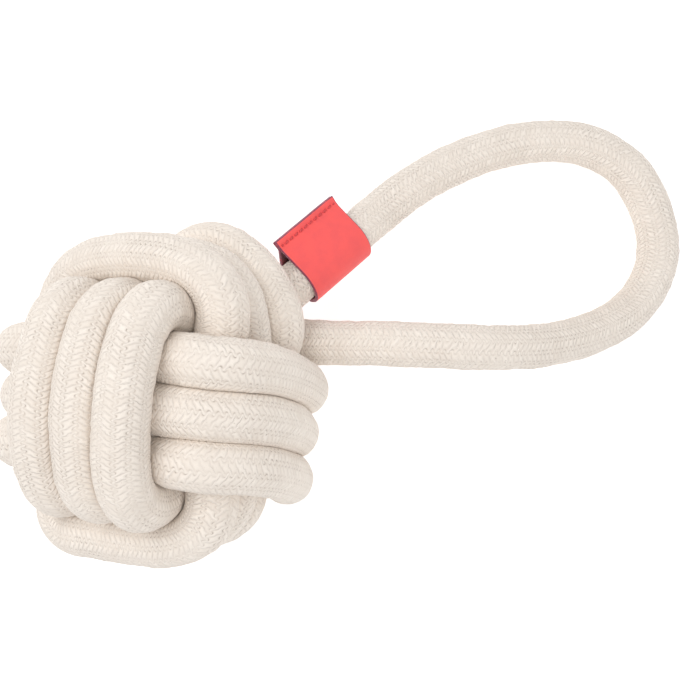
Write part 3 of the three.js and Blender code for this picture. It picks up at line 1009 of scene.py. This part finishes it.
        i, j = near
        s, t, way, apart = closest_of_steps(points[i], points[i + 1], points[j], points[j + 1])
        hit = apart < self.spacing
        amount = 0.5 * (self.spacing - apart[hit]) / apart[hit]
        push(i[hit], s[hit], way[hit], amount)
        push(j[hit], t[hit], way[hit], -amount)
        a, b = points[:-1], points[1:]
        s, t, way, apart = closest_of_steps(a, b, leg[:1] + 0 * a, leg[1:] + 0 * a)
        hit = np.flatnonzero(apart < leg_spacing)
        push(hit, s[hit], way[hit], (leg_spacing - apart[hit]) / apart[hit])
        along = b - a
        share = np.clip(-(a * along).sum(1) / (along * along).sum(1), 0, 1)
        inmost = a + along * share[:, None]
        radius = np.linalg.norm(inmost, axis=1)
        hit = np.flatnonzero(radius < core_reach)
        push(hit, share[hit], inmost[hit], (core_reach - radius[hit]) / radius[hit])
        return moves * (self.push / np.maximum(1, weights) * (weights > 0))[:, None]

    def tied(self, leg: Leg) -> tuple[Array, list[float]]:
        """The rope in the ball, from the lower leg's join to its tucked end, in the toy's directions.

        Args:
            leg: The upper leg, which the turns pass on both sides.

        Returns:
            The points about the ball's centre, and where on them the second and third windings start.
        """
        route, held, second, third = self.loose()
        way = np.linalg.inv(self.matrix) @ leg.way
        line = np.array([way * CORE / 2, way * leg.straight])
        tight = self.drawn(route, held, line, self.draw_steps)
        even = np.vstack([tight[: held - 1], even_on_spline(tight[held - 1 :], len(tight) - held + 1)])
        settled = self.drawn(even, held, line, 0)
        finer = spline(settled, np.linspace(0, 1, (len(settled) - 1) * self.fine + 1))
        pressed = self.drawn(finer, (held - 1) * self.fine + 1, line, self.fine_steps, self.fine)
        return pressed @ self.matrix.T, [(second - 0.5) * self.fine, (third - 0.5) * self.fine]


@dataclass
class HandleRoute:
    """The handle's way, from the core out along the upper leg, round the loop and back to the ball."""

    reach: float = 140.0
    middle: float = 42.0
    width: float = 60.0
    rise: float = 34.0
    step: float = 6.0
    flat: float = 1.2
    join_gap: float = 0.3
    shares: tuple[tuple[float, float, float], ...] = (
        (0.47, 0.27, 0.245),
        (0.56, 0.39, 0.17),
        (0.65, 0.47, 0.12),
        (0.75, 0.51, 0.09),
        (0.85, 0.485, 0.07),
        (0.93, 0.37, 0.05),
        (0.98, 0.18, 0.02),
        (0.997, -0.03, 0),
        (0.975, -0.19, 0.03),
        (0.92, -0.335, 0.12),
        (0.83, -0.435, 0.32),
        (0.72, -0.488, 0.6),
        (0.61, -0.497, 0.86),
        (0.51, -0.489, 0.93),
        (0.43, -0.481, 0.89),
    )

    def points(self, leg: Leg, centre: Array, join: Array, inward: Array) -> Array:
        """The handle's points, in the same steps as its solid.

        Args:
            leg: The upper leg.
            centre: The ball's centre in the frame.
            join: Where the ball's rope starts, from the centre.
            inward: The way into the ball there.

        Returns:
            The points, from the ball's centre.
        """
        rest = ROPE / 2 - self.flat - centre[2]
        straight = leg.way * leg.straight
        scale = np.array([self.reach, self.width, self.rise])
        route = np.array(self.shares) * scale + np.array([0, self.middle, rest])
        end = join - inward * self.join_gap
        lead = end - inward * ROPE
        knots = np.vstack([straight - leg.way * ROPE, straight, route, lead, end])
        bent = even_on_spline(knots, round(chord_table(knots)[1][-1] / self.step) + 1)
        cut = math.ceil(ROPE / self.step) + 1
        return np.vstack([leg.way * leg.end_radius, straight, bent[cut:-cut], lead, end])


@dataclass(frozen=True)
class TuckedEnd:
    """The rope's end, bent in under the windings that cross it."""

    bend: float = 7.0  # the radius that it is bent to
    turn: float = 105.0  # degrees
    lift: float = 0.55  # how far up it is bent, to 1 towards the ball's middle
    taper: float = 0.4  # what it loses of its thickness
    most: float = 0.995  # the last ring's share of the way to the tip
    blunt: int = 8  # the tip's roundness: a circle has 2
    cut: int = 4  # rings that it takes the place of
    look: int = 5  # rings back, for the way that it sets out in
    count: int = 35  # its own rings

    def join(self, rings: Array, lengths: Array, stretch: Array, centre: Array) -> tuple[Array, Array, Array]:
        """Puts the bent end in place of a cut one.

        Copies of the last ring that is kept go round an arc towards the ball's middle and a little up. Each
        is turned with the arc and narrowed, evenly at first and then to a rounded tip.

        Args:
            rings: The last winding's rings.
            lengths: Their places along the rope.
            stretch: How far each point's length is stretched.
            centre: The ball's centre.

        Returns:
            All three, with the bent end.
        """
        kept = len(rings) - self.cut
        last = rings[kept - 1]
        middle = last.mean(axis=0)
        ahead = unit(middle - rings[kept - 1 - self.look].mean(axis=0))
        inside = unit(centre - middle) + [0.0, 0.0, self.lift]
        inside = unit(inside - ahead * (inside @ ahead))
        aside = np.cross(ahead, inside)
        share = np.linspace(0, self.most, self.count + 1)[1:]
        angle = math.radians(self.turn) * share
        sine, cosine = np.sin(angle)[:, None], np.cos(angle)[:, None]
        places = middle + self.bend * (sine * ahead + (1 - cosine) * inside)
        off = last - middle
        made = (off @ ahead)[:, None] * (cosine * ahead + sine * inside)[:, None]
        made = made + (off @ inside)[:, None] * (cosine * inside - sine * ahead)[:, None]
        made = made + np.outer(off @ aside, aside)
        width = (1 - self.taper * share) * np.sqrt(1 - share**self.blunt)
        made = places[:, None] + made * width[:, None, None]
        after = lengths[kept - 1] + self.bend * angle
        same = np.repeat(stretch[kept - 1 : kept], self.count, axis=0)
        pairs = ((rings, made), (lengths, after), (stretch, same))
        return tuple(np.concatenate([old[:kept], new]) for old, new in pairs)


@dataclass
class Rope:
    """The whole rope as one path: handle first, then the ball's three windings."""

    centre: Array
    leg: Leg = field(default_factory=Leg)
    knot: Knot = field(default_factory=Knot)
    handle: HandleRoute = field(default_factory=HandleRoute)
    end: TuckedEnd = field(default_factory=TuckedEnd)
    full: float = 6.5  # a turn's radius where nothing presses it
    free: float = ROPE / 2  # the handle's radius
    grows_over: float = 14.0  # how far into the ball the radius grows from one to the other
    leg_points: int = 12
    ring: float = 0.6
    sides: int = 72
    passes: int = 14  # of smoothing
    swell: float = 0.07  # how uneven the radius is over a few diameters
    rough: float = 0.035  # and over a stitch or two
    seed: int = 5
    waves: int = 32
    own: float = 18.0  # the length of rope that doesn't press against itself
    firm: float = 12.0  # how sharply a press sets in
    most: float = 20.0  # the longest reach that is still counted
    none: float = 99.0  # the reach where nothing is near
    glancing: float = 0.05  # the least cosine towards what presses
    core_margin: float = 3.0
    block: int = 400  # points compared with the whole path at a time
    cord_every: int = 13  # rings from one point of the cord to the next

    def lay(self) -> None:
        """Works out the path, where its pieces meet, and the pressed section round each point of it."""
        tied, starts = self.knot.tied(self.leg)
        inward = unit(tied[1] - tied[0])
        loop = self.handle.points(self.leg, self.centre, tied[0], inward)
        run = np.linspace(loop[0], loop[1], self.leg_points)[:-1]
        loop = np.vstack([run, loop[1:-2]])
        knots = np.vstack([loop, tied])
        lengths = arc_lengths(knots)
        place = np.linspace(0, 1, len(knots))
        count = int(lengths[-1] / self.ring)
        wanted = np.linspace(0, lengths[-1], count)
        self.path = self.smoothed(spline(knots, np.interp(wanted, lengths, place)))
        self.lengths = arc_lengths(self.path)
        marks = [len(loop) + s for s in (0, *starts)]
        cuts = np.interp(marks, np.arange(len(knots)), lengths) * (self.lengths[-1] / lengths[-1])
        self.marks = [0, *(int(np.searchsorted(self.lengths, c)) for c in cuts), count - 1]
        self.rings, self.stretch = self.sections()

    def smoothed(self, path: Array) -> Array:
        """A path with each inner point moved, pass by pass, to the mean of itself and its neighbours.

        Args:
            path: The path.

        Returns:
            The smoother path.
        """
        made = path.copy()
        for _ in range(self.passes):
            made[1:-1] = (made[:-2] + 2 * made[1:-1] + made[2:]) / 4
        return made

    def uneven(self, angle: Array) -> Array:
        """How far the skin stands out of a true tube, as two sums of waves that run along and round it.

        Each wave has a length along the rope, a whole number of turns round it and a start, drawn from a
        seeded table, and its height is the wanted mean times the root of two over the count.

        Args:
            angle: The angles round the rope.

        Returns:
            The height at each point of the path and each angle.
        """
        draw = np.random.default_rng(self.seed)
        made = np.zeros((len(self.lengths), len(angle)))
        for height, shortest, longest, turns in ((self.swell, 6.0, 22.0, 4), (self.rough, 2.0, 4.5, 13)):
            along = 2 * math.pi / draw.uniform(shortest, longest, self.waves)
            across = draw.integers(-turns + 1, turns, self.waves)
            start = draw.uniform(0, 2 * math.pi, self.waves)
            waves = np.cos(self.lengths[:, None, None] * along + angle[None, :, None] * across + start)
            made += height * math.sqrt(2 / self.waves) * waves.sum(axis=-1)
        return made

    def reach_to_strands(self, ways: Array) -> Array:
        """How far each spoke runs before the plane midway to the nearest other strand.

        Args:
            ways: The spokes, by point of the path and place round it.

        Returns:
            The distance along each spoke.
        """
        path, lengths = self.path, self.lengths
        limit = np.full(ways.shape[:2], self.none)
        for start in range(0, len(path), self.block):
            part = slice(start, start + self.block)
            off = path[None] - path[part, None]
            apart = np.linalg.norm(off, axis=-1)
            other_strand = np.abs(lengths[None] - lengths[part, None]) > self.own
            row, other = np.nonzero((apart < 2 * self.full + 1) & other_strand)
            if len(row) == 0:
                continue
            way = off[row, other] / apart[row, other][:, None]
            cosine = np.einsum("pkx,px->pk", ways[part][row], way)
            reach = apart[row, other][:, None] / 2 / np.maximum(cosine, self.glancing)
            rows, begin = np.unique(row, return_index=True)
            limit[start + rows] = np.minimum.reduceat(reach, begin, axis=0)
        return limit

    def sections(self) -> tuple[Array, Array]:
        """The rope's skin: circles whose radius is held back by what they press against.

        Round each point of the path, the radius in a direction is a soft least of the full radius and of the
        distances to the planes midway to the other strands, to the core and to the ground.

        Returns:
            The rings of points in the frame, and how far each point's length is stretched by the bend.
        """
        path, lengths = self.path, self.lengths
        angle = angles_round(self.sides)
        ways = spokes_round(path, angle)
        in_ball = np.clip((lengths - lengths[self.marks[1]]) / self.grows_over, 0, 1)
        full = (self.free + (self.full - self.free) * in_ball)[:, None] + self.uneven(angle)
        limit = self.reach_to_strands(ways)
        out = np.linalg.norm(path, axis=1)
        inward = np.einsum("pkx,px->pk", ways, -path / out[:, None])
        core = (out - CORE / 2)[:, None] / np.maximum(inward, self.glancing)
        clear = out > CORE / 2 + self.core_margin
        limit = np.where(clear[:, None], np.minimum(limit, core), limit)
        ground = (path[:, 2:] + self.centre[2]) / np.maximum(-ways[:, :, 2], self.glancing)
        limit = np.minimum(np.minimum(limit, ground), self.most)
        radius = -np.log(np.exp(-self.firm * full) + np.exp(-self.firm * limit)) / self.firm
        rings = path[:, None] + ways * radius[:, :, None]
        step = np.linalg.norm(np.gradient(rings, axis=0), axis=-1)
        stretch = step / np.maximum(np.gradient(lengths), TINY)[:, None]
        return rings + self.centre, stretch

    def shell(self, name: str, part: int) -> Shell:
        """One stretch of the rope as a closed tube.

        Args:
            name: The piece's name.
            part: Which stretch: 0 the handle, then the three windings.

        Returns:
            The tube.
        """
        cut = slice(self.marks[part], self.marks[part + 1] + 1)
        rings, lengths, stretch = self.rings[cut], self.lengths[cut], self.stretch[cut]
        if part == 3:
            rings, lengths, stretch = self.end.join(rings, lengths, stretch, self.centre)
        return tube_shell(name, rings, lengths - self.lengths[self.marks[1]], {"stretch": stretch})

    def dress(self, pulled: Material, tied: Material) -> None:
        """Makes the handle and the three windings.

        Args:
            pulled: The cotton of the handle, whose braid is pulled longer by use.
            tied: The cotton of the windings.
        """
        handle = self.shell("handle_braided_loop", 0).settle([pulled], "rope", "handle_loop", "rope")
        for part, order in enumerate(("first", "second", "third"), start=1):
            self.shell(f"{order}_braided_turns", part).settle([tied], "rope", f"{order}_turns", "rope")


# ---- Core


@dataclass
class Core:
    """The stuffing ball with its blind socket, turned about the upper leg."""

    centre: Array
    way: Array
    socket: float = 6.35
    floor: float = 3.7
    flare: float = 0.4  # how much narrower the socket is below its mouth
    flare_start: float = 4.0  # above its floor
    rows: int = 40
    sides: int = 72

    def dress(self, material: Material) -> None:
        """Revolves the profile, a circle cut off at the socket's mouth and then its wall and floor.

        Args:
            material: The yarn.
        """
        radius, wall = CORE / 2, self.socket - self.flare
        mouth = math.asin(self.socket / radius)
        angle = np.linspace(-math.pi / 2, math.pi / 2 - mouth, self.rows)[1:]
        off = np.concatenate([radius * np.cos(angle), [wall, wall]])
        height = np.concatenate([radius * np.sin(angle), [self.floor + self.flare_start, self.floor]])
        across = unit(np.cross(self.way, [0.0, 0.0, 1.0]))
        ring = spokes(across, np.cross(self.way, across), angles_round(self.sides))
        rows = off[:, None, None] * ring + height[:, None, None] * self.way
        points = np.vstack([rows.reshape(-1, 3), -radius * self.way, self.floor * self.way]) + self.centre
        shell = Shell("core_stuffing", points, tube_faces(len(off), self.sides))
        shell.settle([material], "rope", "core", "core")


# ---- Leather tab


@dataclass
class Tab:
    """The leather strip folded round the upper leg, and its seam."""

    centre: Array
    leg: Leg
    start: float
    roll: float = 32.0  # degrees that the seam stands above level
    length: float = 21.4
    leather: float = 1.1
    clearance: float = 0.35
    reach: float = 13.4  # from the leg's axis to the cut edges
    seam: float = 2.9
    slit: float = 0.25
    fold: float = 1.6
    inset: float = 1.9  # from the cut edges to the stitches
    pitch: float = 1.8
    margin: float = 1.0
    softening: float = 0.38  # the radius that the cut edges are rounded to
    painted: float = 0.6  # of that radius that the edge paint covers
    flange_lean: float = 16.0  # degrees
    step: float = 0.3
    fold_points: int = 10
    round_points: int = 120
    edge_points: int = 6
    # How the thread pulls the face in, along its line and at each hole: depths and half widths.
    pull: tuple[float, float] = (0.10, 0.55)
    hole: tuple[float, float] = (0.22, 0.45)
    # How the flange curls at its far and near end (heights, and widths in shares of the length), how it
    # ripples, and how far in from the cut edge both reach.
    far_curl: tuple[float, float] = (0.28, 0.12)
    near_curl: tuple[float, float] = (0.12, 0.15)
    ripple: tuple[float, float] = (0.07, 0.7)  # height, and radians a millimetre
    curl_reach: float = 3.2
    # The thread.
    thread: float = 0.5
    thread_step: float = 0.06
    thread_sides: int = 12
    thread_sink: float = 0.02
    thread_slew: float = 0.3  # across the seam in one stitch
    dip_depth: float = 0.7
    dip_width: float = 0.42
    slack: float = 1.1  # the thread's swelling between holes
    squeeze: float = 0.2  # and what it loses in them

    @property
    def axes(self) -> Array:
        """The seam's way, the way across it, and the leg's way, as rows."""
        b, r, way = math.radians(self.leg.bearing), math.radians(self.roll), self.leg.way
        level = np.array([-math.sin(b), math.cos(b), 0.0])
        seam = level * math.cos(r) + np.cross(way, level) * math.sin(r)
        return np.array([seam, np.cross(way, seam), way])

    @property
    def stitches(self) -> Array:
        """Where the stitch holes are along the tab."""
        count = int((self.length - 2 * self.margin) / self.pitch) + 1
        return (self.length - (count - 1) * self.pitch) / 2 + self.pitch * np.arange(count)

    def middle_line(self) -> Array:
        """The leather's middle line across the leg, from one cut edge to the other.

        It is straight at the seam, an arc of the fold's radius, a straight tangent, round the rope and back
        the same way, mirrored.

        Returns:
            Points in even steps, with finer ones at the cut edges.
        """
        radius = ROPE / 2 + self.clearance + self.leather / 2
        half = (self.leather + self.slit) / 2
        bend = self.reach - self.seam
        touch = math.atan2(half, bend) + math.acos(radius / math.hypot(bend, half))
        slope = math.pi / 2 - touch
        turn = -math.pi / 2 - np.linspace(0, slope, self.fold_points)
        middle = [bend + self.fold * math.tan(slope / 2), half + self.fold]
        folded = middle + self.fold * np.stack([np.cos(turn), np.sin(turn)], -1)
        edge = np.array([[self.reach, half]])
        angle = np.linspace(touch, 2 * math.pi - touch, self.round_points)
        arc = radius * np.stack([np.cos(angle), np.sin(angle)], -1)
        mirrored = (np.vstack([edge, folded]) * [1, -1])[::-1]
        corners = np.vstack([edge, folded, arc, mirrored])
        lengths = arc_lengths(corners)
        wanted = self.places(lengths[-1])
        return np.stack([np.interp(wanted, lengths, corners[:, i]) for i in (0, 1)], -1)

    def places(self, length: float) -> Array:
        """Places along a length in even steps, with finer ones where the cut edges are rounded.

        Args:
            length: The whole length.

        Returns:
            The places, from 0 to the length.
        """
        rounded = self.softening * (1 - np.cos(np.linspace(0, math.pi / 2, self.edge_points)))
        inside = np.linspace(self.softening, length - self.softening, int(length / self.step))[1:-1]
        return np.concatenate([rounded, inside, length - rounded[::-1]])

    def placed(self, local: Array) -> Array:
        """Points on the tab's own axes moved to the frame, with the flange leaning.

        Past the fold, a point turns about the fold's line by the lean, growing smoothly over a millimetre.

        Args:
            local: Points as (seam's way, across it, along the leg).

        Returns:
            The points in the frame.
        """
        x, y, z = np.moveaxis(local, -1, 0)
        hinge = self.reach - self.seam
        past = x - hinge
        grown = np.clip(past, 0, 1)
        angle = math.radians(self.flange_lean) * grown**2 * (3 - 2 * grown)
        leaned_x = hinge + past * np.cos(angle) + y * np.sin(angle)
        leaned_y = y * np.cos(angle) - past * np.sin(angle)
        leaned = np.stack([np.where(past > 0, leaned_x, x), np.where(past > 0, leaned_y, y), z], -1)
        return leaned @ self.axes + self.centre + self.leg.way * self.start

    def wave(self, rows: Array, seam: Array) -> Array:
        """How far the flange waves: a ripple and a curl at each end, less away from the cut edges.

        Args:
            rows: Places along the tab.
            seam: Places in from the cut edges.

        Returns:
            The height at each pair of them.
        """
        share = rows / self.length
        curl = self.far_curl[0] * np.exp(-(((share - 1.0) / self.far_curl[1]) ** 2))
        curl = curl - self.near_curl[0] * np.exp(-((share / self.near_curl[1]) ** 2))
        ripple = self.ripple[0] * np.sin(rows * self.ripple[1])
        return (ripple + curl)[:, None] * np.clip(1 - seam / self.curl_reach, 0, 1)[None]

    def surfaces(self) -> Shell:
        """The strip as two sheets and the rim between them.

        Each sheet is the middle line set off by half the thickness, less near a cut edge by a quarter circle,
        and dented round every stitch hole.

        Returns:
            The closed shell: face, back and painted rim.
        """
        line = self.middle_line()
        way = unit(np.gradient(line, axis=0))
        normal = np.stack([way[:, 1], -way[:, 0]], -1)
        lengths, rows = arc_lengths(line), self.places(self.length)
        seam = np.minimum(lengths, lengths[-1] - lengths)
        edge = np.minimum.outer(np.minimum(rows, self.length - rows), seam)
        short = np.clip(1 - edge / self.softening, 0, 1)
        half = self.leather / 2 - self.softening * (1 - np.sqrt(1 - short**2))
        holes = np.abs(rows[:, None] - self.stitches[None]).min(axis=1)
        pulled = np.exp(-(((seam - self.inset) / self.pull[1]) ** 2))
        dent = pulled[None] * (self.pull[0] + self.hole[0] * np.exp(-((holes / self.hole[1]) ** 2)))[:, None]
        wave = self.wave(rows, seam)
        sheets = []
        for side in (1, -1):
            off = side * half - (dent if side > 0 else 0)
            flat = line[None] + normal[None] * off[:, :, None]
            flat = flat + np.array([0.0, 1.0]) * wave[:, :, None]
            sheets.append(np.dstack([flat, np.broadcast_to(rows[:, None], flat.shape[:2])]))
        count = len(rows) * len(line)
        points = self.placed(np.vstack([s.reshape(-1, 3) for s in sheets]))
        face = grid_faces(len(rows), len(line))
        back = face[:, ::-1] + count
        numbers = np.arange(count).reshape(len(rows), len(line))
        rim = np.concatenate([numbers[0, :-1], numbers[:-1, -1], numbers[-1, :0:-1], numbers[:0:-1, 0]])
        after = np.roll(rim, -1)
        ladder = np.stack([rim, after, after + count, rim + count], -1)
        near = edge < self.softening * self.painted
        painted = (near[:-1, :-1] | near[1:, 1:]).ravel()
        finishes = [np.where(painted, 2, 0), np.where(painted, 2, 1), np.full(len(rim), 2)]
        faces = [group[:, ::-1] for group in (face, back, ladder)]
        return Shell("tab_leather", points, faces, finishes=np.concatenate(finishes))

    def stitching(self, layer: Layer) -> Shell:
        """One thread of the seam.

        It lies level between holes, dips into each by a narrow bell, and slews a little across the line in
        each stitch.

        Args:
            layer: The layer that it lies on.

        Returns:
            The thread as a closed tube.
        """
        holes = self.stitches
        along = np.arange(holes[0] - self.pitch / 2, holes[-1] + self.pitch / 2, self.thread_step)
        nearest = np.abs(along[:, None] - holes[None]).min(axis=1)
        surface = self.leather + self.slit / 2
        dip = np.exp(-((nearest / self.dip_width) ** 4))
        height = layer.value * (surface - self.thread_sink - self.dip_depth * dip)
        phase = ((along - holes[0]) / self.pitch) % 1.0
        aside = self.reach - self.inset + self.thread_slew * (phase - 0.5)
        path = np.stack([aside, height, along], -1)
        skin = spokes_round(path, angles_round(self.thread_sides))
        radius = self.thread / 2 * (self.slack - self.squeeze * dip)
        rings = self.placed(path[:, None] + skin * radius[:, None, None])
        name = "needle_stitches" if layer is Layer.UPPER else "bobbin_stitches"
        return tube_shell(name, rings, arc_lengths(path), {})

    def dress(self, leather: list[Material], thread: Material) -> None:
        """Makes the strip and its two threads.

        Args:
            leather: The face, the back and the edge paint.
            thread: The thread's material.
        """
        self.surfaces().settle(leather, "tab", "leather_tab", "leather")
        self.stitching(Layer.UPPER).settle([thread], "tab", "needle_thread", "thread")
        self.stitching(Layer.LOWER).settle([thread], "tab", "bobbin_thread", "thread")


# ---- Stage


@dataclass
class Stage:
    """A pale floor, soft studio light, and a camera that looks straight down."""

    centre: Array
    camera_off: tuple[float, float] = (45.1, 14.2)
    camera_height: float = 283.0
    focal_pixels: float = 936.0
    frame_pixels: float = 680.0
    sensor: float = 36.0
    sight: tuple[float, float] = (0.01, 20.0)  # the nearest and farthest that it sees, in metres
    floor_size: float = 2000.0
    floor_drop: float = 0.05
    floor_grey: float = 0.78
    floor_glow: float = 0.5
    sky: float = 0.57
    # Each light's name, place and side in metres, and power in watts.
    lights: tuple[tuple[str, tuple[float, float, float], float, float], ...] = (
        ("key", (-0.4, 0.25, 0.75), 0.6, 3.4),
        ("fill", (0.5, -0.4, 0.8), 0.9, 2.6),
    )

    def camera(self) -> None:
        """Places the camera over the toy, looking down with +Y up in the frame."""
        data = bpy.data.cameras.new("camera")
        data.sensor_width = self.sensor
        data.lens = self.focal_pixels / self.frame_pixels * data.sensor_width
        data.clip_start, data.clip_end = self.sight
        made = bpy.data.objects.new("camera", data)
        x, y = self.centre[0] + self.camera_off[0], self.centre[1] + self.camera_off[1]
        made.location = (x * MM, y * MM, self.camera_height * MM)
        bpy.context.scene.collection.objects.link(made)
        bpy.context.scene.camera = made

    def light(self, name: str, place: tuple[float, float, float], size: float, power: float) -> None:
        """Hangs a square soft light that faces the ball, turned about X, then Y, then Z.

        Args:
            name: The light's name.
            place: Where it hangs, in metres.
            size: Its side, in metres.
            power: Its power in watts.
        """
        data = bpy.data.lights.new(name, "AREA")
        data.shape, data.size, data.energy = "SQUARE", size, power
        made = bpy.data.objects.new(name, data)
        made.location = place
        z = unit(np.array(place))
        x = unit(np.cross([0.0, 1.0, 0.0], z))
        y = np.cross(z, x)
        about_y = math.atan2(-x[2], math.hypot(y[2], z[2]))
        made.rotation_euler = (math.atan2(y[2], z[2]), about_y, math.atan2(x[1], x[0]))
        bpy.context.scene.collection.objects.link(made)

    def build(self) -> None:
        """Makes the camera, the floor, the lights and the sky."""
        self.camera()
        white = (1.0, 1.0, 1.0, 1.0)
        material, g, shader = new_material("pale_floor")
        g.wire(
            shader,
            Base_Color=(*(self.floor_grey,) * 3, 1.0),
            Roughness=0.9,
            Emission_Color=white,
            Emission_Strength=self.floor_glow,
        )
        corners = np.array([[-1, -1, 0], [1, -1, 0], [1, 1, 0], [-1, 1, 0]]) * self.floor_size
        corners = corners - [0, 0, self.floor_drop]
        Shell("floor", corners, [np.array([[0, 1, 2, 3]])]).build([material])
        for lamp in self.lights:
            self.light(*lamp)
        world = bpy.data.worlds.new("studio")
        world.use_nodes = True
        Graph(world.node_tree).wire(world.node_tree.nodes["Background"], Color=white, Strength=self.sky)
        bpy.context.scene.world = world
        bpy.context.scene.view_settings.view_transform = "Standard"


def tab_start(frame: dict, centre: Array, way: Array) -> float:
    """Where the tab starts along the leg: the least of its solid's places along it.

    Args:
        centre: The ball's centre.
        way: The leg's way.

    Returns:
        The distance from the ball's centre, in millimetres.
    """
    mesh = frame["nodes"]["leather_tab"].data
    places = np.empty(len(mesh.vertices) * 3)
    mesh.vertices.foreach_get("co", places)
    return float(((places.reshape(-1, 3) / MM - centre) @ way).min())


def main() -> None:
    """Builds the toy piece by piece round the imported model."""
    logging.basicConfig(level=logging.INFO, format="%(message)s")
    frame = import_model()
    low, high = (np.array(corner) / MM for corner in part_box("core"))
    centre = (low + high) / 2
    Stage(centre).build()
    braid, fibres, grain = braid_group(), fibre_group(), grain_group()
    rope = Rope(centre)
    rope.lay()
    pulled = BraidedCotton(pitch=1.5, slant=1.4, relief=0.27, name="handle_cotton")
    rope.dress(pulled.material(braid, fibres), BraidedCotton().material(braid, fibres))
    Core(centre, rope.leg.way).dress(StuffingYarn().material(fibres))
    leather = CoralLeather()
    tab = Tab(centre, rope.leg, tab_start(frame, centre, rope.leg.way))
    tab.dress(
        [leather.face_material(grain), leather.back_material(fibres), leather.paint_material()],
        WaxedThread().material(),
    )


if __name__ == "__main__":
    main()
